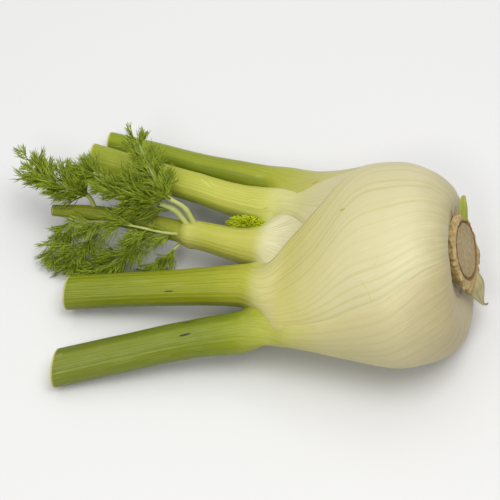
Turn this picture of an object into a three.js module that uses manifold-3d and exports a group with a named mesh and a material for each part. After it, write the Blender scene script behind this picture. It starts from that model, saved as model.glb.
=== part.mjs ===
// A fennel bulb as picked and trimmed: five overlapping leaf bases with their cut stalks, the crown they
// grow from, and the young fronds. Millimetres, +Z up. The bulb lies on its belly with its cut crown
// towards +X, its stalks towards -X, and the surface it rests on is Z = 0.
import * as THREE from "three";
import Module from "manifold-3d";
import { mergeVertices } from "three/addons/utils/BufferGeometryUtils.js";

const wasm = await Module();
wasm.setup();

// The bulb's own frame. q runs from the crown's cut face towards the stalks, s runs across the fan of
// stalks (+Y), and n runs up out of the fan. The crown end is lifted off the surface by CROWN_LIFT.
const CROWN_LIFT = THREE.MathUtils.degToRad(12);
const WIDEST_AT = 38;
const WIDEST_HEIGHT = 40.7;
const FAN_X = 70.4;
const FAN_Y = 10.6;
const GAP = 0.3;

// The outside of the bulb, one row for each station from the crown to just past the crotches:
// q, half width, half thickness, centre s, centre n, q of the middle of the ring, lean of the ring.
const STATIONS = [
  [9, 16.2, 16.2, 0, 0, 17, 0],
  [6, 24, 22, -1.2, -2, 18, 0.06],
  [4, 32.5, 28.5, -3, -3.8, 18.5, 0.08],
  [7, 40.5, 35, -5, -5, 21, 0.08],
  [15.5, 48.5, 38.7, -6.2, -4.6, 26, 0.07],
  [31, 54.3, 40.5, -6.8, -4, 36, 0.04],
  [50, 53, 37.5, -6.5, -3, 50, 0.02],
  [70, 51.3, 27, -6.5, -1.5, 70, 0],
  [86, 51.5, 17.5, -5, -1, 86, 0],
  [102, 56, 13, -2.5, -1, 102, 0],
  [118, 62, 11, -2, -1, 118, 0],
];
const LAST_STATION = 10;
const FIRST_EVEN = 8;
const EVEN_Q = 86;
const EVEN_STEP = 16;
const DEPTH_LEAN = 1.1;

// Where a leaf base turns into its stalk, as q.
const SHEATH_ENDS = 84;
const STALK_STARTS = 110;

// The leaves from the outermost to the innermost. low and high: the angles of both free margins at each
// station, 0 at the front, 90 on top, 180 at the back. stalk: q, s, n, half width, half thickness from
// the base to the cut. back: the angle that the round back of the stalk faces; its channel faces away.
const LEAVES = [
  {
    name: "leaf_front",
    low: [-120, -122, -124, -125, -126, -126, -124, -114, -95, -65, -50],
    high: [55, 56, 57, 57, 54, 41, 30, 24, 28, 36, 40],
    lift: 1.0,
    wall: 10,
    back: -10,
    channel: 0.1,
    stalk: [
      [82, -41.5, -7, 12.5, 12],
      [97, -47.2, -7.3, 12.3, 11.3],
      [111.5, -51.4, -5.9, 11.2, 9.8],
      [131, -57, -4.2, 10.6, 8.9],
      [162, -67.9, -2.5, 10.6, 8.6],
      [194, -79.6, -0.8, 10.8, 8.4],
    ],
    colour: 0xb9bf6a,
  },
  {
    name: "leaf_face",
    low: [39, 40, 41, 41, 38, 26, 15, 10, 14, 24, 30],
    high: [160, 160, 160, 160, 160, 158, 151, 107, 84, 62, 58],
    lift: 0.5,
    wall: 9,
    back: 40,
    channel: 0.1,
    stalk: [
      [82, -23, -1.5, 12.5, 13],
      [99, -25, -1.3, 11.8, 11],
      [121, -26.5, -1.1, 10.4, 9],
      [149, -30, 0.1, 9.4, 8],
      [171.5, -33.1, 1.3, 9.2, 7.7],
      [198, -37, 2.7, 9.3, 7.5],
    ],
    colour: 0xcfcf8c,
  },
  {
    name: "leaf_back",
    low: [148, 148, 148, 148, 148, 148, 144, 137, 124, 114, 112],
    high: [246, 246, 246, 246, 246, 246, 248, 254, 262, 262, 255],
    lift: 0,
    wall: 9,
    back: 180,
    channel: 0.22,
    stalk: [
      [84, 36.7, -5.5, 11.6, 11.6],
      [105, 40.4, -5, 10.2, 9.6],
      [124, 43.8, -3.6, 9.2, 8.8],
      [147, 48, -2, 8.4, 8],
      [173, 54.8, -0.9, 7.8, 7.6],
      [199.5, 60.8, -0.1, 7.6, 7.4],
    ],
    colour: 0xa3ad4e,
  },
  {
    name: "leaf_inner",
    low: [90, 90, 90, 90, 90, 90, 90, 87, 105, 114, 110],
    high: [232, 232, 232, 232, 232, 232, 232, 235, 238, 240, 240],
    lift: -0.6,
    wall: 17,
    back: 140,
    channel: 0.22,
    stalk: [
      [84, 18.5, -1.5, 12, 13],
      [108.5, 23.1, -1.5, 11, 10.4],
      [121, 25.6, -0.8, 9.8, 9.4],
      [142, 29.8, 3.2, 9, 8.6],
      [169, 34.6, 8.6, 8.6, 8],
      [200.5, 41.2, 13.2, 8.4, 7.8],
    ],
    colour: 0xb4b95c,
  },
];
const MARGIN_WALL = 1.2;
const ROOT_WALL_SHARE = 0.45;
const BASE_WALL = 14;
const BASE_BACK_WALL = 20;
const BASE_FROM = 70;
const BASE_TO = 102;
const FACING_STATIONS = 4;
const CHANNEL_SHARE = 0.86;
const BACK_ARC = THREE.MathUtils.degToRad(100);
const ROUND_COUNT = 11;
const INSIDE_COUNT = 6;

// The heart of the bulb with its thin stalk, which bears the fronds. Its node is a swollen collar.
const HEART_DROP = -1.3;
const HEART_STALK = [
  [84, -3, -1, 38, 16],
  [94, -2, -1, 25.5, 12],
  [104, -2.2, -1, 12.5, 10],
  [116, -1.2, -0.8, 9, 8.6],
  [138, 1.6, 2.6, 7.4, 7.1],
  [141, 1.9, 3.1, 7.7, 7.4],
  [144, 2.2, 3.7, 7.1, 6.8],
  [147, 2.6, 4.3, 5.8, 5.5],
  [166, 4.8, 8.2, 5.1, 4.8],
  [192, 5.6, 13, 4.2, 4],
  [213, 4.2, 16.8, 2.9, 2.7],
];
const HEART_COUNT = 18;
const HEART_NARROWS = [78, 92];

// The crown: the trimmed stem that all the leaves grow from. q, radius and share of the torn skirt from
// inside the bulb to the cut face, whose middle is a little dished.
const CROWN = [
  [15, 10, 0],
  [10.5, 15.4, 0],
  [6.5, 15.8, 0.2],
  [4, 16.2, 0.5],
  [2, 16.9, 1],
  [0.6, 17.2, 1],
  [-0.4, 16.5, 0.7],
  [-0.8, 15, 0.2],
  [-0.3, 13.6, 0],
  [0, 4, 0],
];
const CROWN_SIDES = 22;
const CROWN_TILT = 0.14;
// The skirt widens the crown towards its lower side: its reach, its middle and its half width round.
const SKIRT_REACH = 5.5;
const SKIRT_AT = THREE.MathUtils.degToRad(283);
const SKIRT_WIDE = THREE.MathUtils.degToRad(50);

// A torn flap of the lowest leaf scale on the crown's lower edge: for each row the q, s, n of its points.
const FLAP = [
  [[3.1, -10.6, -10.3], [1.1, -6.5, -13.5], [-0.9, 0.3, -14.7]],
  [[1.3, -13.2, -13.5], [-1.3, -8.7, -16.4], [-3.7, -0.7, -16.6]],
  [[-0.8, -14.4, -16.8], [-3.7, -10.1, -18.6], [-6.4, -3.4, -18.7]],
  [[-2.8, -14, -19], [-5, -11.9, -21.2], [-7.6, -7, -21.3]],
  [[-6.5, -16, -23], [-7.5, -15.4, -23.6], [-8.3, -13.4, -23.5]],
];
// A green sliver of scale on the crown's upper edge.
const SLIVER = [
  [[4.6, 10.4, 8.8], [2, 10.8, 9.2], [-0.6, 11, 9.2]],
  [[4.2, 15.9, 13.4], [2, 16.4, 13.6], [-0.2, 16.2, 13.6]],
  [[3, 19.9, 16.7], [2, 20.6, 17.2], [0.9, 20.4, 17.1]],
];
const SCALE_WALL = 1;

// The fronds: young feathery leaflets on the heart's stalk. route: the midrib's points in the part's
// frame, from where it springs. sprays: how many side twigs it has, and their length near the middle.
// sweep: where the threads trail to.
const FRONDS = [
  {
    name: "frond_plume",
    route: [[-29.5, 14.5, 27.5], [-35.3, 17.8, 36.5], [-46, 20, 42], [-55, 31, 45], [-65, 46, 46.5]],
    thick: 1.5,
    bare: 0.42,
    sprays: 12,
    length: 11,
    sweep: [-0.5, 0.9, 0.25],
  },
  {
    name: "frond_long",
    route: [[-32, 13.5, 26.5], [-40, 17.4, 33.5], [-50.5, 18.8, 36], [-60, 18.8, 38], [-72, 21, 38], [-88, 30, 39]],
    thick: 1.7,
    bare: 0.26,
    sprays: 16,
    length: 17,
    sweep: [-0.9, 0.5, 0.25],
  },
  {
    name: "frond_left",
    route: [[-82.6, 18, 22.5], [-86.5, 21, 29], [-94, 20.5, 33], [-108, 23, 35], [-115, 25, 35.5], [-120, 33, 36]],
    thick: 1.3,
    bare: 0.2,
    sprays: 13,
    length: 13,
    sweep: [-0.5, 0.9, 0.1],
  },
  {
    name: "frond_fan",
    route: [[-40, 10.5, 24], [-48, 7, 24], [-58, 2, 18], [-68, -4, 11], [-75, -10, 6]],
    thick: 1.1,
    bare: 0.15,
    sprays: 10,
    length: 15,
    sweep: [-0.85, -0.45, -0.3],
  },
  {
    name: "frond_low",
    route: [[-35, 9, 19], [-40, 3, 17], [-47, -3, 11], [-53, -9, 5]],
    thick: 0.9,
    bare: 0.2,
    sprays: 6,
    length: 9,
    sweep: [-0.6, -0.7, -0.3],
  },
  {
    name: "frond_hanging",
    route: [[-75, 14, 22], [-80, 8, 18.5], [-85, 1, 12], [-90, -7, 5]],
    thick: 1,
    bare: 0.15,
    sprays: 8,
    length: 15,
    sweep: [-0.5, -0.65, -0.3],
  },
  {
    name: "frond_tip",
    route: [[-91, 14.4, 21.6], [-94.5, 9, 18], [-97, 2, 11], [-98, -4, 5]],
    thick: 1,
    bare: 0.15,
    sprays: 8,
    length: 14,
    sweep: [-0.35, -0.7, -0.3],
  },
];
const RIB_SIDES = 5;
const RIB_STEPS = 6;
const RIB_TAPER = 0.4;
const TWIG_RADIUS = 0.6;
const THREAD_RADIUS = 0.42;
const THREADS = 4;
const THREAD_SHARE = 0.62;
const THREAD_SPREAD = 0.62;
const LOWEST_THREAD = 0.8;
// How a side twig points: out from the midrib, on along it and with the sweep, and how far it may turn.
const TWIG_WAY = { out: 0.75, along: 0.35, sweep: 0.6, turn: 2.2 };
// A twig is shorter away from this point of the midrib, by this share.
const LONGEST_AT = 0.55;
const TWIG_TAPER = 0.7;
const TWIG_LENGTHS = [0.7, 1.2];
// The last thread of a twig springs at this share of it, and the threads may turn so far, in radians.
const LAST_THREAD = 0.82;
const THREAD_TURN = 1.6;

// The bud of curled threads between two stalks.
const BUD = { name: "frond_bud", at: [-3.5, 19.5, 26.5], reach: [11, 5, 7], threads: 36, radius: 0.75 };
const BUD_CORE = 0.55;
const BUD_ROOT = 0.3;
const BUD_REACHES = [0.85, 1.15];

// The middle of the whole, which stands over the origin.
const MIDDLE_X = -3.3;
const MIDDLE_Y = 0.1;

function world(q, s, n) {
  const along = WIDEST_AT - q;
  return [
    along * Math.cos(CROWN_LIFT) - n * Math.sin(CROWN_LIFT) + FAN_X,
    s + FAN_Y,
    Math.max(0, along * Math.sin(CROWN_LIFT) + n * Math.cos(CROWN_LIFT) + WIDEST_HEIGHT),
  ];
}

// A smooth curve (Catmull-Rom) through equally spaced rows of numbers, read at x counted in rows.
function through(rows, x) {
  const last = rows.length - 1;
  const i = THREE.MathUtils.clamp(Math.floor(x), 0, last - 1);
  const f = x - i;
  const row = (k) => (Array.isArray(rows[k]) ? rows[k] : [rows[k]]);
  const b = row(i);
  const c = row(i + 1);
  const a = i > 0 ? row(i - 1) : b.map((v, j) => 2 * v - c[j]);
  const d = i + 2 <= last ? row(i + 2) : c.map((v, j) => 2 * v - b[j]);
  return b.map(
    (v, j) =>
      0.5 *
      (2 * v +
        (c[j] - a[j]) * f +
        (2 * a[j] - 5 * v + 4 * c[j] - d[j]) * f * f +
        (3 * v - a[j] - 3 * c[j] + d[j]) * f * f * f),
  );
}

// The same curve through rows whose first number is q, read at q.
function alongStalk(rows, q) {
  let i = 0;
  while (i < rows.length - 2 && rows[i + 1][0] <= q) i++;
  const f = (q - rows[i][0]) / (rows[i + 1][0] - rows[i][0]);
  return through(rows, i + THREE.MathUtils.clamp(f, 0, 1));
}

const smooth = (low, high, x) => THREE.MathUtils.smoothstep(x, low, high);

// A point of the bulb at a station and an angle. depth is how far it lies under the outside, in mm.
function bulbPoint(station, angle, depth) {
  const [q, wide, thick, cs, cn, middle, lean] = through(STATIONS, station);
  const share = Math.max(0, 1 - depth / Math.min(wide, thick));
  const s = cs - wide * share * Math.cos(angle);
  const n = cn + thick * share * Math.sin(angle);
  const across = lean * share * (s + DEPTH_LEAN * n);
  return [middle + (q - middle) * share * share + across, s, n];
}

// A point round a stalk: an ellipse with a channel opposite its back.
function stalkPoint(leaf, q, angle, grow) {
  const [, cs, cn, wide, thick] = alongStalk(leaf.stalk, q);
  const channel = THREE.MathUtils.degToRad(leaf.back ?? 0) + Math.PI;
  const hollow = (leaf.channel ?? 0) * Math.max(0, Math.cos(angle - channel)) ** 4;
  const s = cs - (wide * (1 - hollow) + grow) * Math.cos(angle);
  const n = cn + (thick * (1 - hollow) + grow) * Math.sin(angle);
  return [q, s, n];
}

const mix = (a, b, t) => a.map((v, i) => v + (b[i] - v) * t);
const stationAt = (q) => FIRST_EVEN + (q - EVEN_Q) / EVEN_STEP;

// Moves a point of a grown outline clear of the neighbours where the bulb faces its crown.
function growEnd(point, station, grow, way) {
  point[0] += way * grow * Math.max(0, 1 - station / FACING_STATIONS);
  if (station > 0) return point;
  const inward = 1 - grow / STATIONS[0][1];
  return [point[0], point[1] * inward, point[2] * inward];
}

// The closed outline of a leaf base or stalk at one ring: the round outside first, then the inside.
function leafRing(leaf, ring, grow) {
  const { q } = ring;
  const station = Math.min(ring.station, LAST_STATION);
  const toStalk = smooth(SHEATH_ENDS, STALK_STARTS, q);
  const spread = THREE.MathUtils.radToDeg(grow / through(STATIONS, station)[1]);
  const low = through(leaf.low, station)[0] - spread;
  const high = through(leaf.high, station)[0] + spread;
  const base = smooth(BASE_FROM, BASE_TO, q);
  const root = THREE.MathUtils.lerp(ROOT_WALL_SHARE, 1, Math.min(station / 2, 1));
  const edge = THREE.MathUtils.lerp(MARGIN_WALL, BASE_WALL, base);
  const wall = THREE.MathUtils.lerp(leaf.wall * root, BASE_BACK_WALL, base);
  const back = THREE.MathUtils.degToRad(leaf.back);
  return Array.from({ length: ROUND_COUNT + INSIDE_COUNT }, (_, i) => {
    const outside = i < ROUND_COUNT;
    const v = outside
      ? (2 * i) / (ROUND_COUNT - 1) - 1
      : 1 - (2 * (i - ROUND_COUNT)) / (INSIDE_COUNT - 1);
    const turn = outside
      ? back + BACK_ARC * v
      : back + Math.PI - (Math.PI - BACK_ARC) * CHANNEL_SHARE * v;
    const onStalk = stalkPoint(leaf, q, turn, grow);
    if (toStalk >= 1) return onStalk;
    const angle = THREE.MathUtils.degToRad(low + ((high - low) * (v + 1)) / 2);
    const thickness = edge + (wall - edge) * (1 - Math.abs(v) ** 3);
    const depth = outside ? -leaf.lift - grow : -leaf.lift + thickness + grow;
    const onBulb = growEnd(bulbPoint(station, angle, depth), station, grow, outside ? -1 : 1);
    return toStalk > 0 ? mix(onBulb, onStalk, toStalk) : onBulb;
  });
}

function heartRing(ring, grow) {
  const station = Math.min(ring.station, LAST_STATION);
  const toStalk = smooth(...HEART_NARROWS, ring.q);
  return Array.from({ length: HEART_COUNT }, (_, i) => {
    const angle = (2 * Math.PI * i) / HEART_COUNT;
    const onStalk = stalkPoint({ stalk: HEART_STALK }, ring.q, angle, grow);
    if (toStalk >= 1) return onStalk;
    const onBulb = growEnd(bulbPoint(station, angle, -HEART_DROP - grow), station, grow, -1);
    return mix(onBulb, onStalk, toStalk);
  });
}

// A closed solid through rings of equal count, capped at both ends.
function loft(rings) {
  const count = rings[0].length;
  const points = rings.flat().map(([q, s, n]) => world(q, s, n));
  const faces = [];
  for (let r = 0; r + 1 < rings.length; r++) {
    for (let i = 0; i < count; i++) {
      const j = (i + 1) % count;
      const a = r * count + i;
      const b = r * count + j;
      faces.push([a, b, a + count], [b, b + count, a + count]);
    }
  }
  const cap = (ring, start, way) => {
    const flat = ring.map(([, s, n]) => new THREE.Vector2(s, n));
    const wanted = way * Math.sign(THREE.ShapeUtils.area(flat));
    for (const [a, b, c] of THREE.ShapeUtils.triangulateShape(flat, [])) {
      const right = Math.sign(turnOf(flat[a], flat[b], flat[c])) === wanted;
      faces.push(right ? [start + a, start + b, start + c] : [start + a, start + c, start + b]);
    }
  };
  cap(rings[0], 0, -1);
  cap(rings.at(-1), (rings.length - 1) * count, 1);
  return solid(points, faces);
}

const turnOf = (a, b, c) => (b.x - a.x) * (c.y - a.y) - (b.y - a.y) * (c.x - a.x);

// A manifold solid from points and faces. It is turned right way out where its volume comes out negative.
function solid(points, faces) {
  const geometry = new THREE.BufferGeometry();
  geometry.setAttribute("position", new THREE.Float32BufferAttribute(points.flat(), 3));
  geometry.setIndex(faces.flat());
  const merged = mergeVertices(geometry, 1e-4);
  const build = (index) =>
    new wasm.Manifold(
      new wasm.Mesh({
        numProp: 3,
        vertProperties: merged.attributes.position.array,
        triVerts: new Uint32Array(index),
      }),
    );
  const index = Array.from(merged.index.array);
  const made = build(index);
  if (made.volume() > 0) return made;
  const flipped = index.map((v, i) => (i % 3 === 1 ? index[i + 1] : i % 3 === 2 ? index[i - 1] : v));
  return build(flipped);
}

// The largest body that is left after the cuts.
function largest(made) {
  return made.decompose().reduce((a, b) => (b.volume() > a.volume() ? b : a));
}

const SHEATH_RINGS = [0, 0.6, 1.3, 2, 3, 4, 4.8, 5.5, 6, 6.35, 6.7, 7.1, 7.5, 7.9];
const NECK_RINGS = [88, 92, 96, 100, 104, 108, 113];
const STALK_STEPS = 4;

function ringsOf(outline, end) {
  const rings = SHEATH_RINGS.map((station) => ({ station, q: through(STATIONS, station)[0] }));
  rings.push(...NECK_RINGS.map((q) => ({ station: stationAt(q), q })));
  const start = NECK_RINGS.at(-1);
  for (let i = 1; i <= STALK_STEPS; i++) {
    const q = start + ((end - start) * i) / STALK_STEPS;
    rings.push({ station: stationAt(q), q });
  }
  return rings.map(outline);
}

const fennel = new THREE.Group();

function addMesh(name, made, colour, roughness) {
  const mesh = made.getMesh();
  const geometry = new THREE.BufferGeometry();
  geometry.setAttribute("position", new THREE.BufferAttribute(mesh.vertProperties, 3));
  geometry.setIndex(new THREE.BufferAttribute(mesh.triVerts, 1));
  geometry.computeVertexNormals();
  const material = new THREE.MeshStandardMaterial({ color: colour, roughness, metalness: 0 });
  const part = new THREE.Mesh(geometry, material);
  part.name = name;
  fennel.add(part);
}

let outerLeaves = null;
for (const leaf of LEAVES) {
  const end = leaf.stalk.at(-1)[0];
  const plain = loft(ringsOf((ring) => leafRing(leaf, ring, 0), end));
  const cut = outerLeaves ? largest(plain.subtract(outerLeaves)) : plain;
  addMesh(leaf.name, cut, leaf.colour, 0.42);
  const grown = loft(ringsOf((ring) => leafRing(leaf, ring, GAP), end + GAP)).add(cut);
  outerLeaves = outerLeaves ? outerLeaves.add(grown) : grown;
}

const heartEnd = HEART_STALK.at(-1)[0];
const heart = largest(loft(ringsOf((ring) => heartRing(ring, 0), heartEnd)).subtract(outerLeaves));
addMesh("leaf_heart", heart, 0xc2c46a, 0.42);
const grownHeart = loft(ringsOf((ring) => heartRing(ring, GAP), heartEnd + GAP)).add(heart);
const allLeaves = outerLeaves.add(grownHeart);

// The crown, and the same shape grown by the gap for what is cut clear of it.
function crownSolid(grow) {
  const last = CROWN.length - 1;
  return loft(
    CROWN.map(([q, radius, share], k) => {
      const at = q + (k === 0 ? grow : 0) - (k > last / 2 ? grow : 0);
      return Array.from({ length: CROWN_SIDES }, (_, i) => {
        const angle = (2 * Math.PI * i) / CROWN_SIDES;
        const skirt = SKIRT_REACH * share * Math.exp(-(((angle - SKIRT_AT) / SKIRT_WIDE) ** 2));
        const reach = radius + skirt + grow;
        const n = reach * Math.sin(angle);
        return [at + CROWN_TILT * n, -reach * Math.cos(angle), n];
      });
    }),
  );
}
addMesh("crown", largest(crownSolid(0).subtract(allLeaves)), 0xa89a70, 0.8);

// A thin closed sheet through a grid of points, thickened along its normals.
function sheetSolid(grid, wall) {
  const rows = grid.length;
  const columns = grid[0].length;
  const at = grid.map((row) => row.map(([q, s, n]) => new THREE.Vector3(...world(q, s, n))));
  const sides = [1, -1].map((way) =>
    at.map((row, r) =>
      row.map((point, c) => {
        const down = at[Math.min(r + 1, rows - 1)][c].clone().sub(at[Math.max(r - 1, 0)][c]);
        const across = row[Math.min(c + 1, columns - 1)].clone().sub(row[Math.max(c - 1, 0)]);
        const normal = down.cross(across).normalize();
        return point.clone().addScaledVector(normal, (way * wall) / 2).toArray();
      }),
    ),
  );
  const points = sides.flat(2);
  const id = (side, r, c) => (side * rows + r) * columns + c;
  const faces = [];
  const quad = (a, b, c, d) => faces.push([a, b, c], [a, c, d]);
  for (let r = 0; r + 1 < rows; r++) {
    for (let c = 0; c + 1 < columns; c++) {
      quad(id(0, r, c), id(0, r + 1, c), id(0, r + 1, c + 1), id(0, r, c + 1));
      quad(id(1, r, c), id(1, r, c + 1), id(1, r + 1, c + 1), id(1, r + 1, c));
    }
    quad(id(0, r, 0), id(1, r, 0), id(1, r + 1, 0), id(0, r + 1, 0));
    quad(id(0, r, columns - 1), id(0, r + 1, columns - 1), id(1, r + 1, columns - 1), id(1, r, columns - 1));
  }
  for (let c = 0; c + 1 < columns; c++) {
    quad(id(0, 0, c), id(0, 0, c + 1), id(1, 0, c + 1), id(1, 0, c));
    quad(id(0, rows - 1, c), id(1, rows - 1, c), id(1, rows - 1, c + 1), id(0, rows - 1, c + 1));
  }
  return solid(points, faces);
}
const grownCrown = crownSolid(GAP);
const clearOfCrown = allLeaves.add(grownCrown);
addMesh("scale_flap", largest(sheetSolid(FLAP, SCALE_WALL).subtract(clearOfCrown)), 0xb8ab84, 0.7);
addMesh("scale_sliver", largest(sheetSolid(SLIVER, SCALE_WALL).subtract(clearOfCrown)), 0x93a544, 0.5);

// Numbers between 0 and 1 that are the same each time (a linear congruential series).
function randomSeries(seed) {
  let state = seed;
  return () => {
    state = (state * 1664525 + 1013904223) % 4294967296;
    return state / 4294967296;
  };
}

const vector = (v) => new THREE.Vector3(...v);

// A three-sided thread that runs to a point.
function thread(from, to, radius) {
  const along = to.clone().sub(from).normalize();
  const side = new THREE.Vector3(0.3, 0.5, 0.81).cross(along).normalize().multiplyScalar(radius);
  const points = [0, 1, 2].map((i) =>
    side.clone().applyAxisAngle(along, (2 * Math.PI * i) / 3).add(from).toArray(),
  );
  points.push(to.toArray());
  return solid(points, [[0, 2, 1], [0, 1, 3], [1, 2, 3], [2, 0, 3]]);
}

// A midrib: a tapering tube of few sides along a curve.
function rib(curve, radius) {
  const points = [];
  const faces = [];
  for (let k = 0; k <= RIB_STEPS; k++) {
    const t = k / RIB_STEPS;
    const at = curve.getPoint(t);
    const along = curve.getTangent(t);
    const side = new THREE.Vector3(0, 0.2, 1).cross(along).normalize();
    side.multiplyScalar(radius * (1 - (1 - RIB_TAPER) * t));
    for (let i = 0; i < RIB_SIDES; i++) {
      const spoke = side.clone().applyAxisAngle(along, (2 * Math.PI * i) / RIB_SIDES);
      points.push(spoke.add(at).toArray());
    }
  }
  for (let k = 0; k < RIB_STEPS; k++) {
    for (let i = 0; i < RIB_SIDES; i++) {
      const a = k * RIB_SIDES + i;
      const b = k * RIB_SIDES + ((i + 1) % RIB_SIDES);
      faces.push([a, b, a + RIB_SIDES], [b, b + RIB_SIDES, a + RIB_SIDES]);
    }
  }
  const end = RIB_STEPS * RIB_SIDES;
  for (let i = 1; i + 1 < RIB_SIDES; i++) {
    faces.push([0, i + 1, i], [end, end + i, end + i + 1]);
  }
  return solid(points, faces);
}

// Joins solids two by two.
function joinAll(solids) {
  if (solids.length === 1) return solids[0];
  const half = Math.ceil(solids.length / 2);
  return joinAll(solids.slice(0, half)).add(joinAll(solids.slice(half)));
}

// One frond: its midrib, side twigs in pairs that turn round it, and threads on both sides of each twig.
function frondSolid(frond, seed) {
  const random = randomSeries(seed);
  const between = (range) => THREE.MathUtils.lerp(...range, random());
  const about = (span) => (random() - 0.5) * span;
  const upright = new THREE.Vector3(0, 0, 1);
  const curve = new THREE.CatmullRomCurve3(frond.route.map(vector));
  const pieces = [rib(curve, frond.thick)];
  const sweep = vector(frond.sweep).normalize();
  for (let k = 0; k < frond.sprays; k++) {
    const t = frond.bare + ((1 - frond.bare) * (k + 0.5)) / frond.sprays;
    const at = curve.getPoint(t);
    const along = curve.getTangent(t);
    const side = upright.clone().cross(along).normalize();
    side.applyAxisAngle(along, (k % 2 ? Math.PI : 0) + about(TWIG_WAY.turn));
    const way = side.multiplyScalar(TWIG_WAY.out);
    way.addScaledVector(along, TWIG_WAY.along).addScaledVector(sweep, TWIG_WAY.sweep).normalize();
    const length = frond.length * between(TWIG_LENGTHS) * (1 - TWIG_TAPER * Math.abs(t - LONGEST_AT));
    const tip = at.clone().addScaledVector(way, length);
    tip.z = Math.max(tip.z, LOWEST_THREAD);
    pieces.push(thread(at, tip, TWIG_RADIUS));
    for (let j = 0; j < THREADS; j++) {
      const share = (j + 0.6) / THREADS;
      const reach = length * THREAD_SHARE * (1 - 0.5 * share);
      const out = upright.clone().cross(way).normalize();
      out.applyAxisAngle(way, (j % 2 ? Math.PI : 0) + about(THREAD_TURN));
      const root = at.clone().lerp(tip, share * LAST_THREAD);
      const to = root.clone().addScaledVector(way, reach).addScaledVector(out, reach * THREAD_SPREAD);
      to.z = Math.max(to.z, LOWEST_THREAD);
      pieces.push(thread(root, to, THREAD_RADIUS));
    }
  }
  return joinAll(pieces);
}

// The bud: short threads that stand out of one small core on all sides.
function budSolid() {
  const random = randomSeries(7);
  const middle = vector(BUD.at);
  const core = new THREE.IcosahedronGeometry(1, 1);
  core.deleteAttribute("normal");
  core.deleteAttribute("uv");
  core.scale(...BUD.reach.map((v) => v * BUD_CORE));
  core.translate(...BUD.at);
  const merged = mergeVertices(core, 1e-4);
  const points = [];
  for (let i = 0; i < merged.attributes.position.count; i++) {
    points.push(new THREE.Vector3().fromBufferAttribute(merged.attributes.position, i).toArray());
  }
  const faces = [];
  for (let i = 0; i < merged.index.count; i += 3) {
    faces.push([0, 1, 2].map((k) => merged.index.getX(i + k)));
  }
  const pieces = [solid(points, faces)];
  const golden = Math.PI * (3 - Math.sqrt(5));
  for (let i = 0; i < BUD.threads; i++) {
    const height = 1 - (2 * (i + 0.5)) / BUD.threads;
    const round = Math.sqrt(1 - height * height);
    const way = new THREE.Vector3(round * Math.cos(i * golden), round * Math.sin(i * golden), height);
    const reach = vector(BUD.reach).multiplyScalar(THREE.MathUtils.lerp(...BUD_REACHES, random()));
    const tip = way.clone().multiply(reach).add(middle);
    const root = way.clone().multiply(reach).multiplyScalar(BUD_ROOT).add(middle);
    pieces.push(thread(root, tip, BUD.radius));
  }
  return joinAll(pieces);
}

const bud = largest(budSolid().subtract(allLeaves));
addMesh(BUD.name, bud, 0x83920f, 0.6);
let fronds = null;
FRONDS.forEach((frond, k) => {
  const plain = frondSolid(frond, 11 + k).subtract(allLeaves);
  const made = largest(fronds ? plain.subtract(fronds) : plain);
  addMesh(frond.name, made, 0x66780f, 0.6);
  fronds = fronds ? fronds.add(made) : made;
});
fennel.position.set(-MIDDLE_X, -MIDDLE_Y, 0);

export default fennel;
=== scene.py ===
"""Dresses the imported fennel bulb: finely ribbed leaf bases and stalks, the cut crown with its dry scales,
feathery fronds and a bud, on a plain pale floor in soft light. Sizes in millimetres are named as such."""

import math

import bpy
import numpy as np
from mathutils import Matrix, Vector


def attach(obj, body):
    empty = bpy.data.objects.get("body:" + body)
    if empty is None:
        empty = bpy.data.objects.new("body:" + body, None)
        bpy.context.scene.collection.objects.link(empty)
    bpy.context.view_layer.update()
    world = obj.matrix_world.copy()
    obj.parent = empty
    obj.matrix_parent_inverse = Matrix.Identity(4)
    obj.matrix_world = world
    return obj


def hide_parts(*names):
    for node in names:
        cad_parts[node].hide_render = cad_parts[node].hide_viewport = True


bl_info = {
    "name": "Fennel Bulb",
    "version": (1, 0, 0),
    "blender": (4, 5, 0),
    "location": "3D View > Sidebar > Fennel",
    "description": "Builds the leaf bases, crown, fronds and stage of a trimmed fennel bulb",
    "category": "Object",
}

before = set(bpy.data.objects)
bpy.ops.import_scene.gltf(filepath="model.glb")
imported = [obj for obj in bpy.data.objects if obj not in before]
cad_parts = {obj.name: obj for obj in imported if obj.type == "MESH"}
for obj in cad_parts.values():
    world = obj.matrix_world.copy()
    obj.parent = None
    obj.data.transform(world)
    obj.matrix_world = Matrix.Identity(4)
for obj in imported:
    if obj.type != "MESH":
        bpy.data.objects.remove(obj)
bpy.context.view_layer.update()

MM = 0.001

# The bulb's own frame, as in the solids: q from the crown's cut face towards the stalks, s across the
# fan of stalks, n up out of the fan. Millimetres and degrees.
CROWN_LIFT = math.radians(12)
WIDEST_AT = 38.0
WIDEST_HEIGHT = 40.7
FAN_X = 73.7
FAN_Y = 10.5

# One row for each station from the crown to just past the crotches: q, half width, half thickness,
# centre s, centre n, q of the middle of the ring, lean of the ring.
STATIONS = np.array(
    [
        [7, 16.2, 16.2, 0, 0, 17, 0],
        [4.9, 24, 22, -1.2, -2, 18, 0.06],
        [4, 32.5, 28.5, -3, -3.8, 18.5, 0.08],
        [7, 40.5, 35, -5, -5, 21, 0.08],
        [15.5, 48.5, 38.7, -6.2, -4.6, 26, 0.07],
        [31, 54.3, 40.5, -6.8, -4, 36, 0.04],
        [50, 53, 37.5, -6.5, -3, 50, 0.02],
        [70, 51.3, 27, -6.5, -1.5, 70, 0],
        [86, 51.3, 17.5, -5.4, -1, 86, 0],
        [102, 55.2, 13, -4, -1, 102, 0],
        [118, 62, 11, -2, -1, 118, 0],
    ]
)
LAST_STATION = 10
FIRST_EVEN = 8
EVEN_Q = 86
EVEN_STEP = 16
DEPTH_LEAN = 1.1
SHEATH_ENDS = 84
STALK_STARTS = 110
MARGIN_WALL = 1.2
ROOT_WALL_SHARE = 0.45
BASE_WALL = 14
BASE_BACK_WALL = 20
BASE_FROM = 70
BASE_TO = 102
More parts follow.
